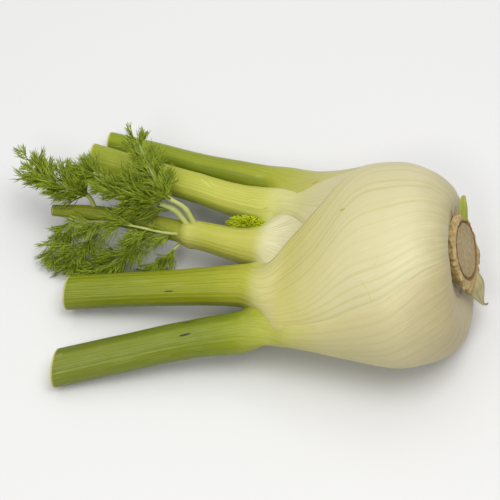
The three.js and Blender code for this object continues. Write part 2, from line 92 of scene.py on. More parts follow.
CHANNEL_SHARE = 0.86
BACK_ARC = math.radians(100)
HEART_NARROWS = (78, 92)
NECK_FROM = 88
CUT_INSETS = (0.35, 0.1)
WRINKLES_AT = 97
WRINKLES_REACH = 8
RIDGE_HEIGHT = 0.075
# The painted shade inside a stalk's channel rises from nothing at the first q to full at the second.
CHANNEL_PAINTED_SHADE = (96, 112)
EARLY_SIDE = (0.1, 1.0)
ROOT_STATIONS = 2
MARGIN_FROM = 0.9
MARGIN_BULGE = 0.3
CROWN_FADE = (0.6, 2.5)
RIB_WANDER = 0.9
HEART_WRINKLES = 0.1

# How finely the leaf bases and the heart are drawn: the points across the outside, the inside and an edge,
# then the count of rings on the bulb and the step between rings on the stalk.
OUTLINE_POINTS = (120, 40, 5)
LEAF_RINGS = (120, 1.2)
HEART_RINGS = (90, 0.8)
HEART_AROUND = 150
LEAF_SEED = 20
HEART_SEED = 31

# The closing rings of a cut stalk, as shares of its outline, and the depth of its dish in metres.
CUT_SHARES = np.array([0.985, 0.955, 0.9, 0.75, 0.5, 0.25])
CUT_DISH = 0.0004
CUT_KIND = 1

# The leaves from the outermost to the innermost. low and high: the angles of the free margins at each
# station. early: how much sooner the high margin turns into the stalk. lift: how far the outside lies off
# the bulb's surface, and at the margins. wall: the thickness. back: where the stalk's round back faces.
# channel: how hollow its other side is. stalk: q, s, n, half width, half thickness. silver_and_sheen: how
# strongly the neck is made pale and silvery, partly its own dry skin and partly painted sheen. lines: how
# many veins cross the leaf. skin: colours by q from the crown to the cut, in sRGB from 0 to 1.
# The first skin stop of each leaf, darker tan at the crown, is partly the skin's own tan and partly painted
# shade of the hollow round the crown.
LEAVES = [
    {
        "name": "leaf_front",
        "slot": "leaf_outermost",
        "low": [-120, -122, -124, -125, -126, -126, -124, -114, -95, -65, -50],
        "high": [55, 56, 57, 57, 54, 41, 30, 23, 23, 27, 32],
        "early": 8,
        "lift": 1.0,
        "margin_lift": 0.58,
        "wall": 10,
        "back": -10,
        "channel": 0.1,
        "stalk": [
            [82, -41.5, -7, 12.5, 12],
            [97, -47.2, -7.3, 12.3, 11.3],
            [111.5, -51.4, -5.9, 11.2, 9.8],
            [131, -57, -4.2, 10.6, 8.9],
            [162, -67.9, -2.5, 10.6, 8.6],
            [194, -79.6, -0.8, 10.8, 8.4],
        ],
        "silver_and_sheen": 0.06,
        "lines": 24,
        "line_strength": 0.45,
        "skin": [
            (2, (0.66, 0.61, 0.46)),
            (25, (0.75, 0.71, 0.55)),
            (62, (0.74, 0.71, 0.5)),
            (80, (0.7, 0.69, 0.36)),
            (92, (0.6, 0.61, 0.17)),
            (106, (0.5, 0.54, 0.05)),
            (122, (0.43, 0.48, 0.03)),
            (175, (0.43, 0.47, 0.1)),
        ],
    },
    {
        "name": "leaf_face",
        "slot": "leaf_pale",
        "low": [39, 40, 41, 41, 38, 26, 15, 10, 14, 24, 30],
        "high": [160, 160, 160, 160, 160, 158, 151, 107, 84, 62, 58],
        "lift": 0.5,
        "margin_lift": -0.35,
        "wall": 9,
        "back": 40,
        "channel": 0.1,
        "stalk": [
            [82, -23, -1.5, 12.5, 13],
            [99, -25, -1.3, 11.8, 11],
            [121, -26.5, -1.1, 10.4, 9],
            [149, -30, 0.1, 9.4, 8],
            [171.5, -33.1, 1.3, 9.2, 7.7],
            [198, -37, 2.7, 9.3, 7.5],
        ],
        "silver_and_sheen": 0.3,
        "lines": 20,
        "line_strength": 0.8,
        "skin": [
            (2, (0.67, 0.63, 0.48)),
            (20, (0.76, 0.73, 0.58)),
            (55, (0.76, 0.73, 0.555)),
            (80, (0.73, 0.7, 0.43)),
            (93, (0.73, 0.7, 0.4)),
            (102, (0.65, 0.65, 0.22)),
            (124, (0.54, 0.56, 0.05)),
            (175, (0.46, 0.5, 0.04)),
        ],
    },
    {
        "name": "leaf_back",
        "slot": "leaf_green",
        "low": [148, 148, 148, 148, 148, 148, 144, 137, 124, 114, 112],
        "high": [246, 246, 246, 246, 246, 246, 248, 254, 262, 262, 255],
        "lift": 0.0,
        "margin_lift": -0.45,
        "wall": 9,
        "back": 180,
        "channel": 0.22,
        "stalk": [
            [84, 36.7, -5.5, 11.6, 11.6],
            [105, 40.4, -5, 10.2, 9.6],
            [124, 43.8, -3.6, 9.2, 8.8],
            [147, 48, -2, 8.4, 8],
            [173, 54.8, -0.9, 7.8, 7.6],
            [199.5, 60.8, -0.1, 7.6, 7.4],
        ],
        "silver_and_sheen": 0.05,
        "lines": 20,
        "line_strength": 0.6,
        "skin": [
            (2, (0.64, 0.59, 0.44)),
            (25, (0.71, 0.68, 0.52)),
            (62, (0.71, 0.68, 0.48)),
            (78, (0.68, 0.67, 0.36)),
            (95, (0.62, 0.63, 0.18)),
            (130, (0.51, 0.55, 0.08)),
            (180, (0.51, 0.56, 0.05)),
        ],
    },
    {
        "name": "leaf_inner",
        "slot": "leaf_second",
        "low": [90, 90, 90, 90, 90, 90, 90, 87, 105, 114, 110],
        "high": [232, 232, 232, 232, 232, 232, 226, 198, 158, 148, 148],
        "early": 8,
        "lift": -0.6,
        "margin_lift": -1.0,
        "wall": 17,
        "back": 140,
        "channel": 0.22,
        "stalk": [
            [84, 18.5, -1.5, 12, 13],
            [108.5, 23.1, -1.5, 11, 10.4],
            [121, 25.6, -0.8, 9.8, 9.4],
            [142, 29.8, 3.2, 9, 8.6],
            [169, 34.6, 8.6, 8.6, 8],
            [200.5, 41.2, 13.2, 8.4, 7.8],
        ],
        "silver_and_sheen": 0.25,
        "lines": 22,
        "line_strength": 0.6,
        "skin": [
            (2, (0.67, 0.63, 0.48)),
            (40, (0.75, 0.72, 0.56)),
            (74, (0.75, 0.72, 0.54)),
            (88, (0.74, 0.73, 0.47)),
            (104, (0.72, 0.72, 0.35)),
            (130, (0.7, 0.7, 0.3)),
            (155, (0.64, 0.66, 0.22)),
            (190, (0.56, 0.6, 0.14)),
        ],
    },
]

# The heart with its thin stalk and swollen collar.
HEART_DROP = -1.3
HEART = {
    "name": "leaf_heart",
    "slot": "leaf_heart",
    "stalk": [
        [84, -3, -1, 38, 16],
        [94, -2, -1, 25.5, 12],
        [104, -2.2, -1, 12.5, 10],
        [116, -1.2, -0.8, 9, 8.6],
        [138, 1.6, 2.6, 7.4, 7.1],
        [141, 1.9, 3.1, 7.7, 7.4],
        [144, 2.2, 3.7, 7.1, 6.8],
        [147, 2.6, 4.3, 5.8, 5.5],
        [166, 4.8, 8.2, 5.1, 4.8],
        [192, 5.6, 13, 4.2, 4],
        [213, 4.2, 16.8, 2.9, 2.7],
    ],
    "silver_and_sheen": 0.45,
    "lines": 50,
    "line_strength": 0.7,
    # The first skin stop, darker tan at the crown, is partly the heart's own tan and partly painted shade
    # of the hollow round the crown.
    "skin": [
        (2, (0.71, 0.67, 0.5)),
        (84, (0.78, 0.75, 0.59)),
        (98, (0.76, 0.74, 0.54)),
        (106, (0.71, 0.7, 0.33)),
        (132, (0.66, 0.66, 0.25)),
        (142, (0.7, 0.69, 0.35)),
        (147, (0.54, 0.56, 0.14)),
        (180, (0.47, 0.5, 0.03)),
    ],
}

# The crown: q, radius and share of the torn skirt, from inside the bulb to the dished cut face.
CROWN = np.array(
    [
        [15, 10, 0],
        [10.5, 15.4, 0],
        [6.5, 15.8, 0.2],
        [4, 16.2, 0.5],
        [2, 16.9, 1],
        [0.6, 17.2, 1],
        [-0.1, 16.5, 0.7],
        [-0.3, 15, 0.2],
        [-0.3, 13.6, 0],
        [-0.2, 4, 0],
    ]
)
SKIRT_REACH = 5.5
SKIRT_AT = math.radians(283)
SKIRT_WIDE = math.radians(50)
RING_AT = 0.686
STRANDS = 52.0
CROWN_TILT = 0.2
CROWN_AROUND = 280
FLAKY_SIDE = ((0.2, 0.35), (0.64, 0.6))
RAGGED_RIM = ((0.44, 0.54), (0.66, 0.6))
DISH_FROM = (0.64, 0.7)
DISH_HEIGHT = 0.1
CROWN_STEPS = 160
ROUGH_HEIGHT = 0.28
LIP_HEIGHT = 0.55
GROOVE_DEPTH = 0.45
GROOVE_WIDTH = 0.012

# The scales on the crown's edge: for each row the q, s, n of its points.
FLAP = [
    [[3.1, -10.6, -10.3], [1.1, -6.5, -13.5], [-0.9, 0.3, -14.7]],
    [[1.3, -13.2, -13.5], [-1.3, -8.7, -16.4], [-3.7, -0.7, -16.6]],
    [[-0.8, -14.4, -16.8], [-3.7, -10.1, -18.6], [-6.4, -3.4, -18.7]],
    [[-2.8, -14, -19], [-5, -11.9, -21.2], [-7.6, -7, -21.3]],
    [[-7.2, -15.9, -22.9], [-7.7, -15.4, -23.5], [-8.1, -14.6, -23.5]],
    [[-9.5, -15.9, -23.1], [-10, -15.2, -23.9], [-10.4, -14.4, -23.5]],
]
SLIVER = [
    [[4.6, 10.4, 8.8], [2, 10.8, 9.2], [-0.6, 11, 9.2]],
    [[4.2, 15.9, 13.4], [2, 16.4, 13.6], [-0.2, 16.2, 13.6]],
    [[3, 19.9, 16.7], [2, 20.6, 17.2], [0.9, 20.4, 17.1]],
]
SCALE_WALL = 0.8
SCALE_POINTS = (44, 26)
SCALE_SEED = 41

# The fronds, as in the solids: the midrib's points before the part was centred over its origin (route), its
# radius (thick), its bare share, the count and length of its side twigs (sprays, length), and where they
# sweep to. fill: how many times the solid's twigs there are. trail: how strongly they follow the sweep.
# longest: where along the midrib they are longest. full: where they end. stub: a bare broken leaflet stalk.
# spray: a further frond that belongs to the same piece.
FROND_SHIFT = np.array([3.3, -0.1, 0.0])
FRONDS = [
    {
        "name": "frond_plume",
        "route": [
            [-29.5, 14.5, 27.5],
            [-35.3, 17.8, 36.5],
            [-46, 20, 42],
            [-55, 31, 45],
            [-65, 46, 46.5],
        ],
        "thick": 1.5,
        "bare": 0.42,
        "sprays": 12,
        "length": 11,
        "sweep": [-0.5, 0.9, 0.25],
        "fill": 3,
    },
    {
        "name": "frond_long",
        "route": [
            [-32, 13.5, 26.5],
            [-40, 17.4, 33.5],
            [-50.5, 18.8, 36],
            [-60, 18.8, 38],
            [-72, 21, 38],
            [-88, 30, 39],
        ],
        "thick": 1.7,
        "bare": 0.26,
        "sprays": 16,
        "length": 15.5,
        "longest": 0.35,
        "sweep": [-0.95, 0.12, 0.05],
        "trail": 0.8,
        "fill": 3,
    },
    {
        "name": "frond_left",
        "route": [
            [-82.6, 18, 22.5],
            [-86.5, 21, 29],
            [-94, 20.5, 33],
            [-108, 23, 35],
            [-115, 25, 35.5],
            [-120, 33, 36],
        ],
        "thick": 1.3,
        "bare": 0.2,
        "sprays": 13,
        "length": 13,
        "sweep": [-0.5, 0.9, 0.1],
        "full": 0.66,
        "longest": 0.25,
        "stub": [[-93.5, 20.6, 33], [-100, 19.4, 32.2], [-108, 17.7, 31]],
        "fill": 4,
    },
    {
        "name": "frond_fan",
        "route": [[-40, 10.5, 24], [-48, 7, 24], [-58, 2, 18], [-68, -4, 11], [-75, -10, 6]],
        "thick": 1.1,
        "bare": 0.15,
        "sprays": 10,
        "length": 15,
        "sweep": [-0.85, -0.45, -0.3],
        "trail": 1.0,
        "fill": 3,
        "spray": {
            "route": [
                [-34.5, 10.5, 23.5],
                [-44, 6.5, 28.5],
                [-58, 6, 30.5],
                [-72, 7, 29.5],
                [-86, 8, 25],
            ],
            "thick": 0.9,
            "bare": 0.12,
            "sprays": 8,
            "length": 11,
            "sweep": [-0.85, -0.5, 0.0],
            "trail": 0.9,
            "fill": 2,
        },
    },
    {
        "name": "frond_low",
        "route": [[-35, 9, 19], [-40, 3, 17], [-47, -3, 11], [-53, -9, 5]],
        "thick": 0.9,
        "bare": 0.2,
        "sprays": 6,
        "length": 9,
        "sweep": [-0.6, -0.7, -0.3],
        "trail": 0.9,
        "fill": 3,
    },
    {
        "name": "frond_hanging",
        "route": [[-75, 14, 22], [-80, 8, 18.5], [-85, 1, 12], [-90, -7, 5]],
        "thick": 1,
        "bare": 0.15,
        "sprays": 8,
        "length": 12.5,
        "sweep": [-0.5, -0.65, -0.3],
        "trail": 1.0,
        "fill": 2,
    },
    {
        "name": "frond_tip",
        "route": [[-91, 14.4, 21.6], [-94.5, 9, 18], [-97, 2, 11], [-98, -4, 5]],
        "thick": 1,
        "bare": 0.15,
        "sprays": 8,
        "length": 11,
        "sweep": [-0.35, -0.7, -0.3],
        "trail": 0.9,
        "fill": 2,
    },
]
RIB_TAPER = 0.4
STUB_RADIUS = 1.1
TWIG_WAY = {"out": 0.75, "along": 0.35, "sweep": 0.6, "turn": 2.2}
LONGEST_AT = 0.55
TWIG_TAPER = 0.7
TWIG_LENGTHS = (0.7, 1.2)
FILL_LENGTHS = (0.6, 1.15)
FILL_FROM = 0.9
SOLID_THREADS = 4
RIB_SIDES = 10
RIB_STEPS = 40
KNOT_HEIGHT = 0.16
RIDGE_SHARE = 0.06

# How a twig branches: its children, where they begin and end along it, their share of its length and how
# far they lean out. Then the spread of their turn, and how thick each level of threads is.
TWIGLETS = (8, 0.1, 0.95, 0.9, 0.5)
FINE_THREADS = (4, 0.12, 0.9, 1.0, 0.27)
BRANCH_TURN = 2.0
LEVEL_THICKNESS = (1.4, 1.1, 1.0)

# What varies from child to child and from thread to thread: the place, the lean, the length (which also
# falls along the twig), the thickness, the bow, and how much of the bow is towards the sweep.
CHILD_PLACES = (0.2, 0.8)
CHILD_LEANS = (0.6, 1.3)
CHILD_LENGTHS = (0.75, 1.2)
CHILD_SHRINK = 0.5
THREAD_THICKNESS = (0.85, 1.1)
BOW_SPREAD = 0.05
BOW_TO_SWEEP = 0.06
THREAD_SEEDS = 100
SPRAY_SEEDS = 50
LOWEST_THREAD = 0.4
FIRST_SEED = 11

# The bud: its middle and reach, and the half length and radius of the core that its threads grow from.
BUD = {"name": "frond_bud", "at": [-3.5, 19.5, 26.5], "reach": [11, 5, 7], "threads": 420}
BUD_CORE = (7.0, 3.4)
BUD_ROOT = 0.45
BUD_THICKNESS = (0.32, 0.46)
BUD_LENGTHS = (0.78, 1.05)
BUD_TIP_SPREAD = 0.35
BUD_BOW = 0.9
BUD_SEED = 7

# The photograph's view: where it is aimed, in millimetres, and from where.
VIEW_TARGET = (7.0, -9.7, 48.6)
VIEW_AZIMUTH = math.radians(11)
VIEW_ELEVATION = math.radians(55)
VIEW_DISTANCE = 1000.0
VIEW_MM_PER_PIXEL = 0.49
VIEW_PIXELS = 500
SENSOR_MM = 36.0

# The stage in metres: the floor's half side, then each light's name, place, aim, size, the setting that
# holds its power, and its colour.
FLOOR_HALF = 3.0
LIGHTS = [
    ("sky panel", (0.0, 0.25, 1.7), (0.0, 0.05, 0.0), 2.4, "sky_power", (1.0, 1.0, 1.0)),
    ("key light", (0.2, -0.15, 1.15), (0.03, 0, 0.03), 0.6, "key_power", (1.0, 0.99, 0.96)),
    ("view light", (-0.1, -0.8, 0.95), (0.05, 0, 0.04), 0.25, "view_power", (1.0, 1.0, 1.0)),
]


def smooth(low, high, x):
    """Rises from 0 at low to 1 at high along 3 t^2 - 2 t^3."""
    t = np.clip((np.asarray(x, float) - low) / (high - low), 0, 1)
    return t * t * (3 - 2 * t)


def lerp(a, b, t):
    """a at t = 0, b at t = 1, in a straight line between."""
    return a + (b - a) * t


def spread(*axes):
    """Arrays spread over one grid and set side by side along a new last axis."""
    return np.stack(np.broadcast_arrays(*axes), axis=-1)


def through(rows, x):
    """A Catmull-Rom curve through equally spaced rows, read at x counted in rows. The shape is x's, with
    one more axis for the row's values."""
    rows = np.asarray(rows, float)
    if rows.ndim == 1:
        rows = rows[:, None]
    x = np.asarray(x, float)
    last = len(rows) - 1
    i = np.clip(np.floor(x).astype(int), 0, last - 1)
    f = (x - i)[..., None]
    b, c = rows[i], rows[i + 1]
    a = np.where((i > 0)[..., None], rows[np.maximum(i - 1, 0)], 2 * b - c)
    d = np.where((i + 2 <= last)[..., None], rows[np.minimum(i + 2, last)], 2 * c - b)
    steep = (c - a) * f + (2 * a - 5 * b + 4 * c - d) * f**2 + (3 * b - a - 3 * c + d) * f**3
    return b + 0.5 * steep


def along_stalk(rows, q):
    """The same curve through rows whose first number is q, read at q and held past both ends."""
    rows = np.asarray(rows, float)
    i = np.clip(np.searchsorted(rows[:, 0], q, side="right") - 1, 0, len(rows) - 2)
    f = np.clip((q - rows[i, 0]) / (rows[i + 1, 0] - rows[i, 0]), 0, 1)
    return through(rows, i + f)


def place(q, s, n):
    """Points in metres in the part's frame: the bulb's frame is turned by the crown's lift about the
    Y axis, moved to the fan's place, and kept from going below the surface it rests on."""
    along = WIDEST_AT - q
    x = along * math.cos(CROWN_LIFT) - n * math.sin(CROWN_LIFT) + FAN_X
    z = along * math.sin(CROWN_LIFT) + n * math.cos(CROWN_LIFT) + WIDEST_HEIGHT
    return spread(x, s + FAN_Y, np.maximum(z, 0.0)) * MM


def ripple(seed, count, *axes):
    """A soft random wave between about -1 and 1: the mean of cosines of the axes, each axis being
    (values, highest frequency). Whole frequencies keep it closed round an angle."""
    draw = np.random.default_rng(seed)
    total = 0.0
    for _ in range(count):
        phase = draw.uniform(0, 2 * math.pi)
        for values, highest in axes:
            phase = phase + values * int(draw.integers(-highest, highest + 1))
        total = total + np.cos(phase)
    return total / math.sqrt(count)


def bulb_points(station, angle, depth):
    """q, s, n on the bulb: an ellipse at each station, shrunk by the depth under the outside, whose q
    closes towards the middle of the ring with the square of the share that is left."""
    row = through(STATIONS, station)
    q, wide, thick, cs, cn, middle, lean = (row[..., k] for k in range(7))
    share = np.maximum(0, 1 - depth / np.minimum(wide, thick))
    s = cs - wide * share * np.cos(angle)
    n = cn + thick * share * np.sin(angle)
    across = lean * share * (s + DEPTH_LEAN * n)
    return middle + (q - middle) * share * share + across, s, n


def stalk_points(leaf, q, angle, relief):
    """q, s, n round a stalk: an ellipse grown by the relief, with a channel opposite its back."""
    row = along_stalk(leaf["stalk"], q)
    channel = math.radians(leaf.get("back", 0)) + math.pi
    hollow = leaf.get("channel", 0) * np.maximum(0, np.cos(angle - channel)) ** 4
    s = row[..., 1] - (row[..., 3] * (1 - hollow) + relief) * np.cos(angle)
    n = row[..., 2] + (row[..., 4] * (1 - hollow) + relief) * np.sin(angle)
    return q, s, n


def leaf_rings(end, sheath_count, stalk_step):
    """Stations and q of the rings of a leaf, from the crown to the cut end."""
    sheath = np.linspace(0, FIRST_EVEN - 0.1, sheath_count)
    neck = np.arange(NECK_FROM, end, stalk_step)
    neck = np.append(neck, [end - inset for inset in CUT_INSETS])
    station = np.concatenate([sheath, FIRST_EVEN + (neck - EVEN_Q) / EVEN_STEP])
    q = np.concatenate([through(STATIONS, sheath)[:, 0], neck])
    return np.minimum(station, LAST_STATION)[:, None], q[:, None]


def leaf_outline(outside, inside, edge):
    """Across (-1 to 1) and side (0 outside, 1 inside) of the points round a leaf base's outline."""
    turn = np.arange(1, edge) / edge
    margin = np.ones(edge - 1)
    v = np.concatenate([np.linspace(-1, 1, outside), margin, np.linspace(1, -1, inside), -margin])
    side = np.concatenate([np.zeros(outside), turn, np.ones(inside), turn[::-1]])
    return v[None, :], side[None, :]


def leaf_surface(leaf, station, q, v, side, settings, seed):
    """A grid of points over a leaf base and its stalk, rings by outline. On the bulb the outline is an
    arc of the station's ellipse between the two margins with a wall inside it. On the stalk it is the
    stalk's ellipse, and between them the two are mixed. Ribs are cosines across the leaf."""
    to_stalk = smooth(SHEATH_ENDS, STALK_STARTS, q + leaf.get("early", 0) * smooth(*EARLY_SIDE, v))
    wide = through(STATIONS, station)[..., 1]
    low = through(leaf["low"], station)[..., 0]
    high = through(leaf["high"], station)[..., 0]
    base = smooth(BASE_FROM, BASE_TO, q)
    root = lerp(ROOT_WALL_SHARE, 1, np.minimum(station / ROOT_STATIONS, 1))
    edge = lerp(MARGIN_WALL, BASE_WALL, base)
    wall = lerp(leaf["wall"] * root, BASE_BACK_WALL, base)
    thickness = edge + (wall - edge) * (1 - np.abs(v) ** 3)
    back = math.radians(leaf["back"])
    inner_turn = back + math.pi - (math.pi - BACK_ARC) * CHANNEL_SHARE * v
    edge_arc = (math.pi - BACK_ARC) * (1 - CHANNEL_SHARE)
    outer_turn = back + BACK_ARC * v + np.sign(v) * side * edge_arc
    turn = np.where(side >= 1, inner_turn, outer_turn)
    fade = (1 - side) * smooth(1.0, MARGIN_FROM, np.abs(v)) * smooth(*CROWN_FADE, station)
    wander = ripple(seed, 6, (v * 2, 2), (q * 0.02, 2)) * RIB_WANDER
    ribs = np.cos(math.pi * leaf["lines"] * 0.5 * v + wander)
    broad = ripple(seed + 1, 6, (v * 5, 3), (q * 0.008, 1)) * (1 - to_stalk)
    relief = (ribs * settings.rib_height + broad * settings.wave_height) * fade
    relief = relief + settings.wrinkle_height * wrinkles(leaf, q, v) * (1 - side)
    bulge = np.sign(v) * np.sin(math.pi * side) * MARGIN_BULGE / wide
    angle = np.radians(low + (high - low) * (v + 1) / 2) + bulge
    lift = lerp(leaf["lift"], leaf["margin_lift"], smooth(MARGIN_FROM, 1.0, np.abs(v)))
    depth = -lift + side * thickness - relief * (1 - to_stalk)
    on_bulb = bulb_points(station, angle, depth)
    on_stalk = stalk_points(leaf, q, turn, (relief + stalk_ridges(leaf, q, turn, seed)) * to_stalk)
    return place(*(lerp(a, b, to_stalk) for a, b in zip(on_bulb, on_stalk, strict=True)))


def wrinkles(leaf, q, v):
    """Wrinkles of height 1 where a leaf base narrows into its stalk: short waves across the leaf that
    lean with q, strongest where the neck is tightest."""
    near = np.exp(-(((q - WRINKLES_AT) / WRINKLES_REACH) ** 2))
    return near * ripple(len(leaf["name"]), 8, (v * 14, 3), (q * 0.22, 2))


def stalk_ridges(leaf, q, turn, seed):
    """Fine ridges along a stalk, in millimetres: whole cosines of the angle, with slow changes."""
    back = math.radians(leaf.get("back", 0))
    return RIDGE_HEIGHT * ripple(seed + 2, 10, (turn - back, 34), (q * 0.01, 2))


def heart_surface(station, q, angle, seed):
    """A grid of points over the heart, which is round, and its thin stalk."""
    to_stalk = smooth(*HEART_NARROWS, q)
    ridges = stalk_ridges(HEART, q, angle, seed)
    folds = HEART_WRINKLES * wrinkles(HEART, q, np.sin(angle))
    on_bulb = bulb_points(station, angle, -HEART_DROP - folds)
    on_stalk = stalk_points(HEART, q, angle, ridges * to_stalk)
    return place(*(lerp(a, b, to_stalk) for a, b in zip(on_bulb, on_stalk, strict=True)))


def grid_faces(rings, around, first=0):
    """Quads between neighbouring rings of a grid, whose outline is closed."""
    r = np.arange(rings - 1)[:, None]
    c = np.arange(around)[None, :]
    nxt = (c + 1) % around
    a, b = r * around + c, r * around + nxt
    return np.stack([a, b, b + around, a + around], axis=-1).reshape(-1, 4) + first


def cap_rings(outline, shares, dish):
    """Rings that close an outline towards its middle: each ring is the outline shrunk to a share, moved
    along the mean direction by the dish times one less the share squared."""
    middle = outline.mean(axis=0)
    flat = outline - middle
    normal = np.linalg.svd(flat, full_matrices=False)[2][2]
    rings = [middle + flat * share + normal * dish * (1 - share * share) for share in shares]
    return np.stack(rings), middle + normal * dish


def mesh_object(name, points, faces, uv, materials, material_of=None, inner=None):
    """A mesh object from whole arrays. faces is a list of integer arrays of equal corners, uv has one row a
    vertex, material_of one number a face."""
    mesh = bpy.data.meshes.new(name)
    corners = np.concatenate([f.ravel() for f in faces]).astype(np.int32)
    sizes = np.concatenate([np.full(len(f), f.shape[1]) for f in faces])
    starts = np.concatenate([[0], np.cumsum(sizes)[:-1]]).astype(np.int32)
    mesh.vertices.add(len(points))
    mesh.loops.add(len(corners))
    mesh.polygons.add(len(sizes))
    mesh.vertices.foreach_set("co", np.asarray(points, np.float32).ravel())
    mesh.loops.foreach_set("vertex_index", corners)
    mesh.polygons.foreach_set("loop_start", starts)
    mesh.update(calc_edges=True)
    layer = mesh.uv_layers.new(name="surface")
    layer.data.foreach_set("uv", np.asarray(uv, np.float32)[corners].ravel())
    if inner is not None:
        held = mesh.attributes.new("inner", "FLOAT", "POINT")
        held.data.foreach_set("value", np.asarray(inner, np.float32))
    mesh.polygons.foreach_set("use_smooth", np.ones(len(sizes), bool))
    for material in materials:
        mesh.materials.append(material)
    if material_of is not None:
        mesh.polygons.foreach_set("material_index", np.asarray(material_of, np.int32))
    mesh.validate()
    made = bpy.data.objects.new(name, mesh)
    bpy.context.scene.collection.objects.link(made)
    return made


def turn_outwards(made):
    """Flips the faces of a closed mesh whose volume comes out negative."""
    mesh = made.data
    mesh.calc_loop_triangles()
    points = np.empty(len(mesh.vertices) * 3)
    mesh.vertices.foreach_get("co", points)
    corners = np.empty(len(mesh.loop_triangles) * 3, np.int32)
    mesh.loop_triangles.foreach_get("vertices", corners)
    a, b, c = points.reshape(-1, 3)[corners.reshape(-1, 3)].transpose(1, 0, 2)
    if np.einsum("ij,ij->i", a, np.cross(b, c)).sum() < 0:
        mesh.flip_normals()


def stand_for(made, node):
    """The piece rides with the part, stands for its solid, which is hidden, and has its faces turned
    outwards.
    """
    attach(made, "root")
    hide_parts(node)
    turn_outwards(made)
    return made


def closed_loft(name, grid, uv, materials, inner):
    """An object from rings of points, closed at the crown end by a middle point and at the cut end by
    shrinking rings with the cut's material. The middle of the cut is a little dished."""
    rings, around = grid.shape[:2]
    cut, cut_middle = cap_rings(grid[-1], CUT_SHARES, CUT_DISH)
    start_middle = grid[0].mean(axis=0)
    points = np.concatenate([grid.reshape(-1, 3), cut.reshape(-1, 3), [start_middle, cut_middle]])
    wall = grid_faces(rings, around)
    end = grid_faces(len(CUT_SHARES) + 1, around, (rings - 1) * around)
    ring = np.arange(around)
    nxt = (ring + 1) % around
    last = (rings + len(CUT_SHARES) - 1) * around
    centre = np.full(around, len(points) - 1)
    start = np.full(around, len(points) - 2)
    fans = [np.stack([last + ring, last + nxt, centre], 1), np.stack([nxt, ring, start], 1)]
    cut_uv = spread((ring / around)[None, :], CUT_SHARES[:, None]).reshape(-1, 2)
    uv = np.concatenate([uv.reshape(-1, 2), cut_uv, [uv[0, 0], (0.5, 0.0)]])
    inner = np.concatenate([inner.ravel(), np.zeros(len(cut_uv) + 2)])
    kinds = np.zeros(len(wall) + len(end) + 2 * around)
    kinds[len(wall) : -around] = CUT_KIND
    faces = [np.concatenate([wall, end]), fans[0], fans[1]]
    return mesh_object(name, points, faces, uv, materials, kinds, inner)


def thread_tubes(root, tip, bend, radius, sides=3, steps=3, tail=0.25):
    """Points and faces of many threads at once. A thread runs from its root to its tip along a parabola
    bowed by bend, and its radius falls to the tail's share at the tip. Shapes are (threads, 3)."""
    t = np.linspace(0, 1, steps + 1)
    along = (tip - root)[:, None, :]
    line = root[:, None, :] + along * t[None, :, None] + bend[:, None, :] * (4 * t * (1 - t))[None, :, None]
    line[..., 2] = np.maximum(line[..., 2], LOWEST_THREAD)
    way = np.gradient(line, axis=1)
    way /= np.linalg.norm(way, axis=-1, keepdims=True) + 1e-9
    helper = np.array([0.31, 0.52, 0.79])
    side = np.cross(way, helper)
    side /= np.linalg.norm(side, axis=-1, keepdims=True) + 1e-9
    other = np.cross(way, side)
    turn = 2 * math.pi * np.arange(sides) / sides
    reach = (radius[:, None] * lerp(1, tail, t**1.5)[None, :])[..., None, None]
    spokes = side[:, :, None, :] * np.cos(turn)[:, None] + other[:, :, None, :] * np.sin(turn)[:, None]
    points = line[:, :, None, :] + spokes * reach
    count = len(root)
    each = (steps + 1) * sides
    walls = grid_faces(steps + 1, sides)
    offset = (np.arange(count) * each)[:, None, None]
    quads = (walls[None] + offset).reshape(-1, 4)
    low = np.arange(sides)[::-1]
    ends = np.stack([low, low[::-1] + steps * sides])
    caps = (ends[None] + offset).reshape(-1, sides)
    tint = np.broadcast_to(np.arange(count)[:, None, None] * 0.61803 % 1, (count, steps + 1, sides))
    rise = np.broadcast_to(t[None, :, None], tint.shape)
    uv = np.stack([tint, rise], -1).reshape(-1, 2)
    return points.reshape(-1, 3), quads, caps, uv


def rib_tube(route, radius):
    """A midrib: a round tube along a Catmull-Rom route that tapers, with low ridges and small knots."""
    sides, steps = RIB_SIDES, RIB_STEPS
    t = np.linspace(0, 1, steps + 1)
    line = through(route, t * (len(route) - 1))
    way = np.gradient(line, axis=0)
    way /= np.linalg.norm(way, axis=1, keepdims=True)
    side = np.cross(np.array([0, 0.2, 1.0]), way)
    side /= np.linalg.norm(side, axis=1, keepdims=True)
    other = np.cross(way, side)
    turn = 2 * math.pi * np.arange(sides) / sides
    knots = KNOT_HEIGHT * np.exp(-(((t * 5 + 0.4) % 1 - 0.5) / 0.09) ** 2)
    ridges = RIDGE_SHARE * np.cos(5 * turn)
    reach = radius * lerp(1, RIB_TAPER, t)[:, None] * (1 + knots[:, None] + ridges[None, :])
    reach = np.repeat(reach[..., None], 3, axis=-1)
    spokes = side[:, None] * np.cos(turn)[None, :, None] + other[:, None] * np.sin(turn)[None, :, None]
    points = (line[:, None] + spokes * reach).reshape(-1, 3)
    quads = grid_faces(steps + 1, sides)
    caps = np.stack([np.arange(sides)[::-1], np.arange(sides) + steps * sides])
    uv = spread((turn / 6.3)[None, :], t[:, None]).reshape(-1, 2)
    return points, quads, caps, uv


def random_series(seed):
    """Numbers between 0 and 1 from the same linear congruential series as the solids' fronds."""
    state = seed
    while True:
        state = (state * 1664525 + 1013904223) % 4294967296
        yield state / 4294967296


def rotate(vectors, axes, angles):
    """Each vector turned about its own unit axis by its own angle (Rodrigues)."""
    cos, sin = np.cos(angles)[..., None], np.sin(angles)[..., None]
    dot = np.sum(vectors * axes, axis=-1, keepdims=True)
    return vectors * cos + np.cross(axes, vectors) * sin + axes * dot * (1 - cos)


def unit(vectors):
    """The vectors at length 1."""
    return vectors / (np.linalg.norm(vectors, axis=-1, keepdims=True) + 1e-9)


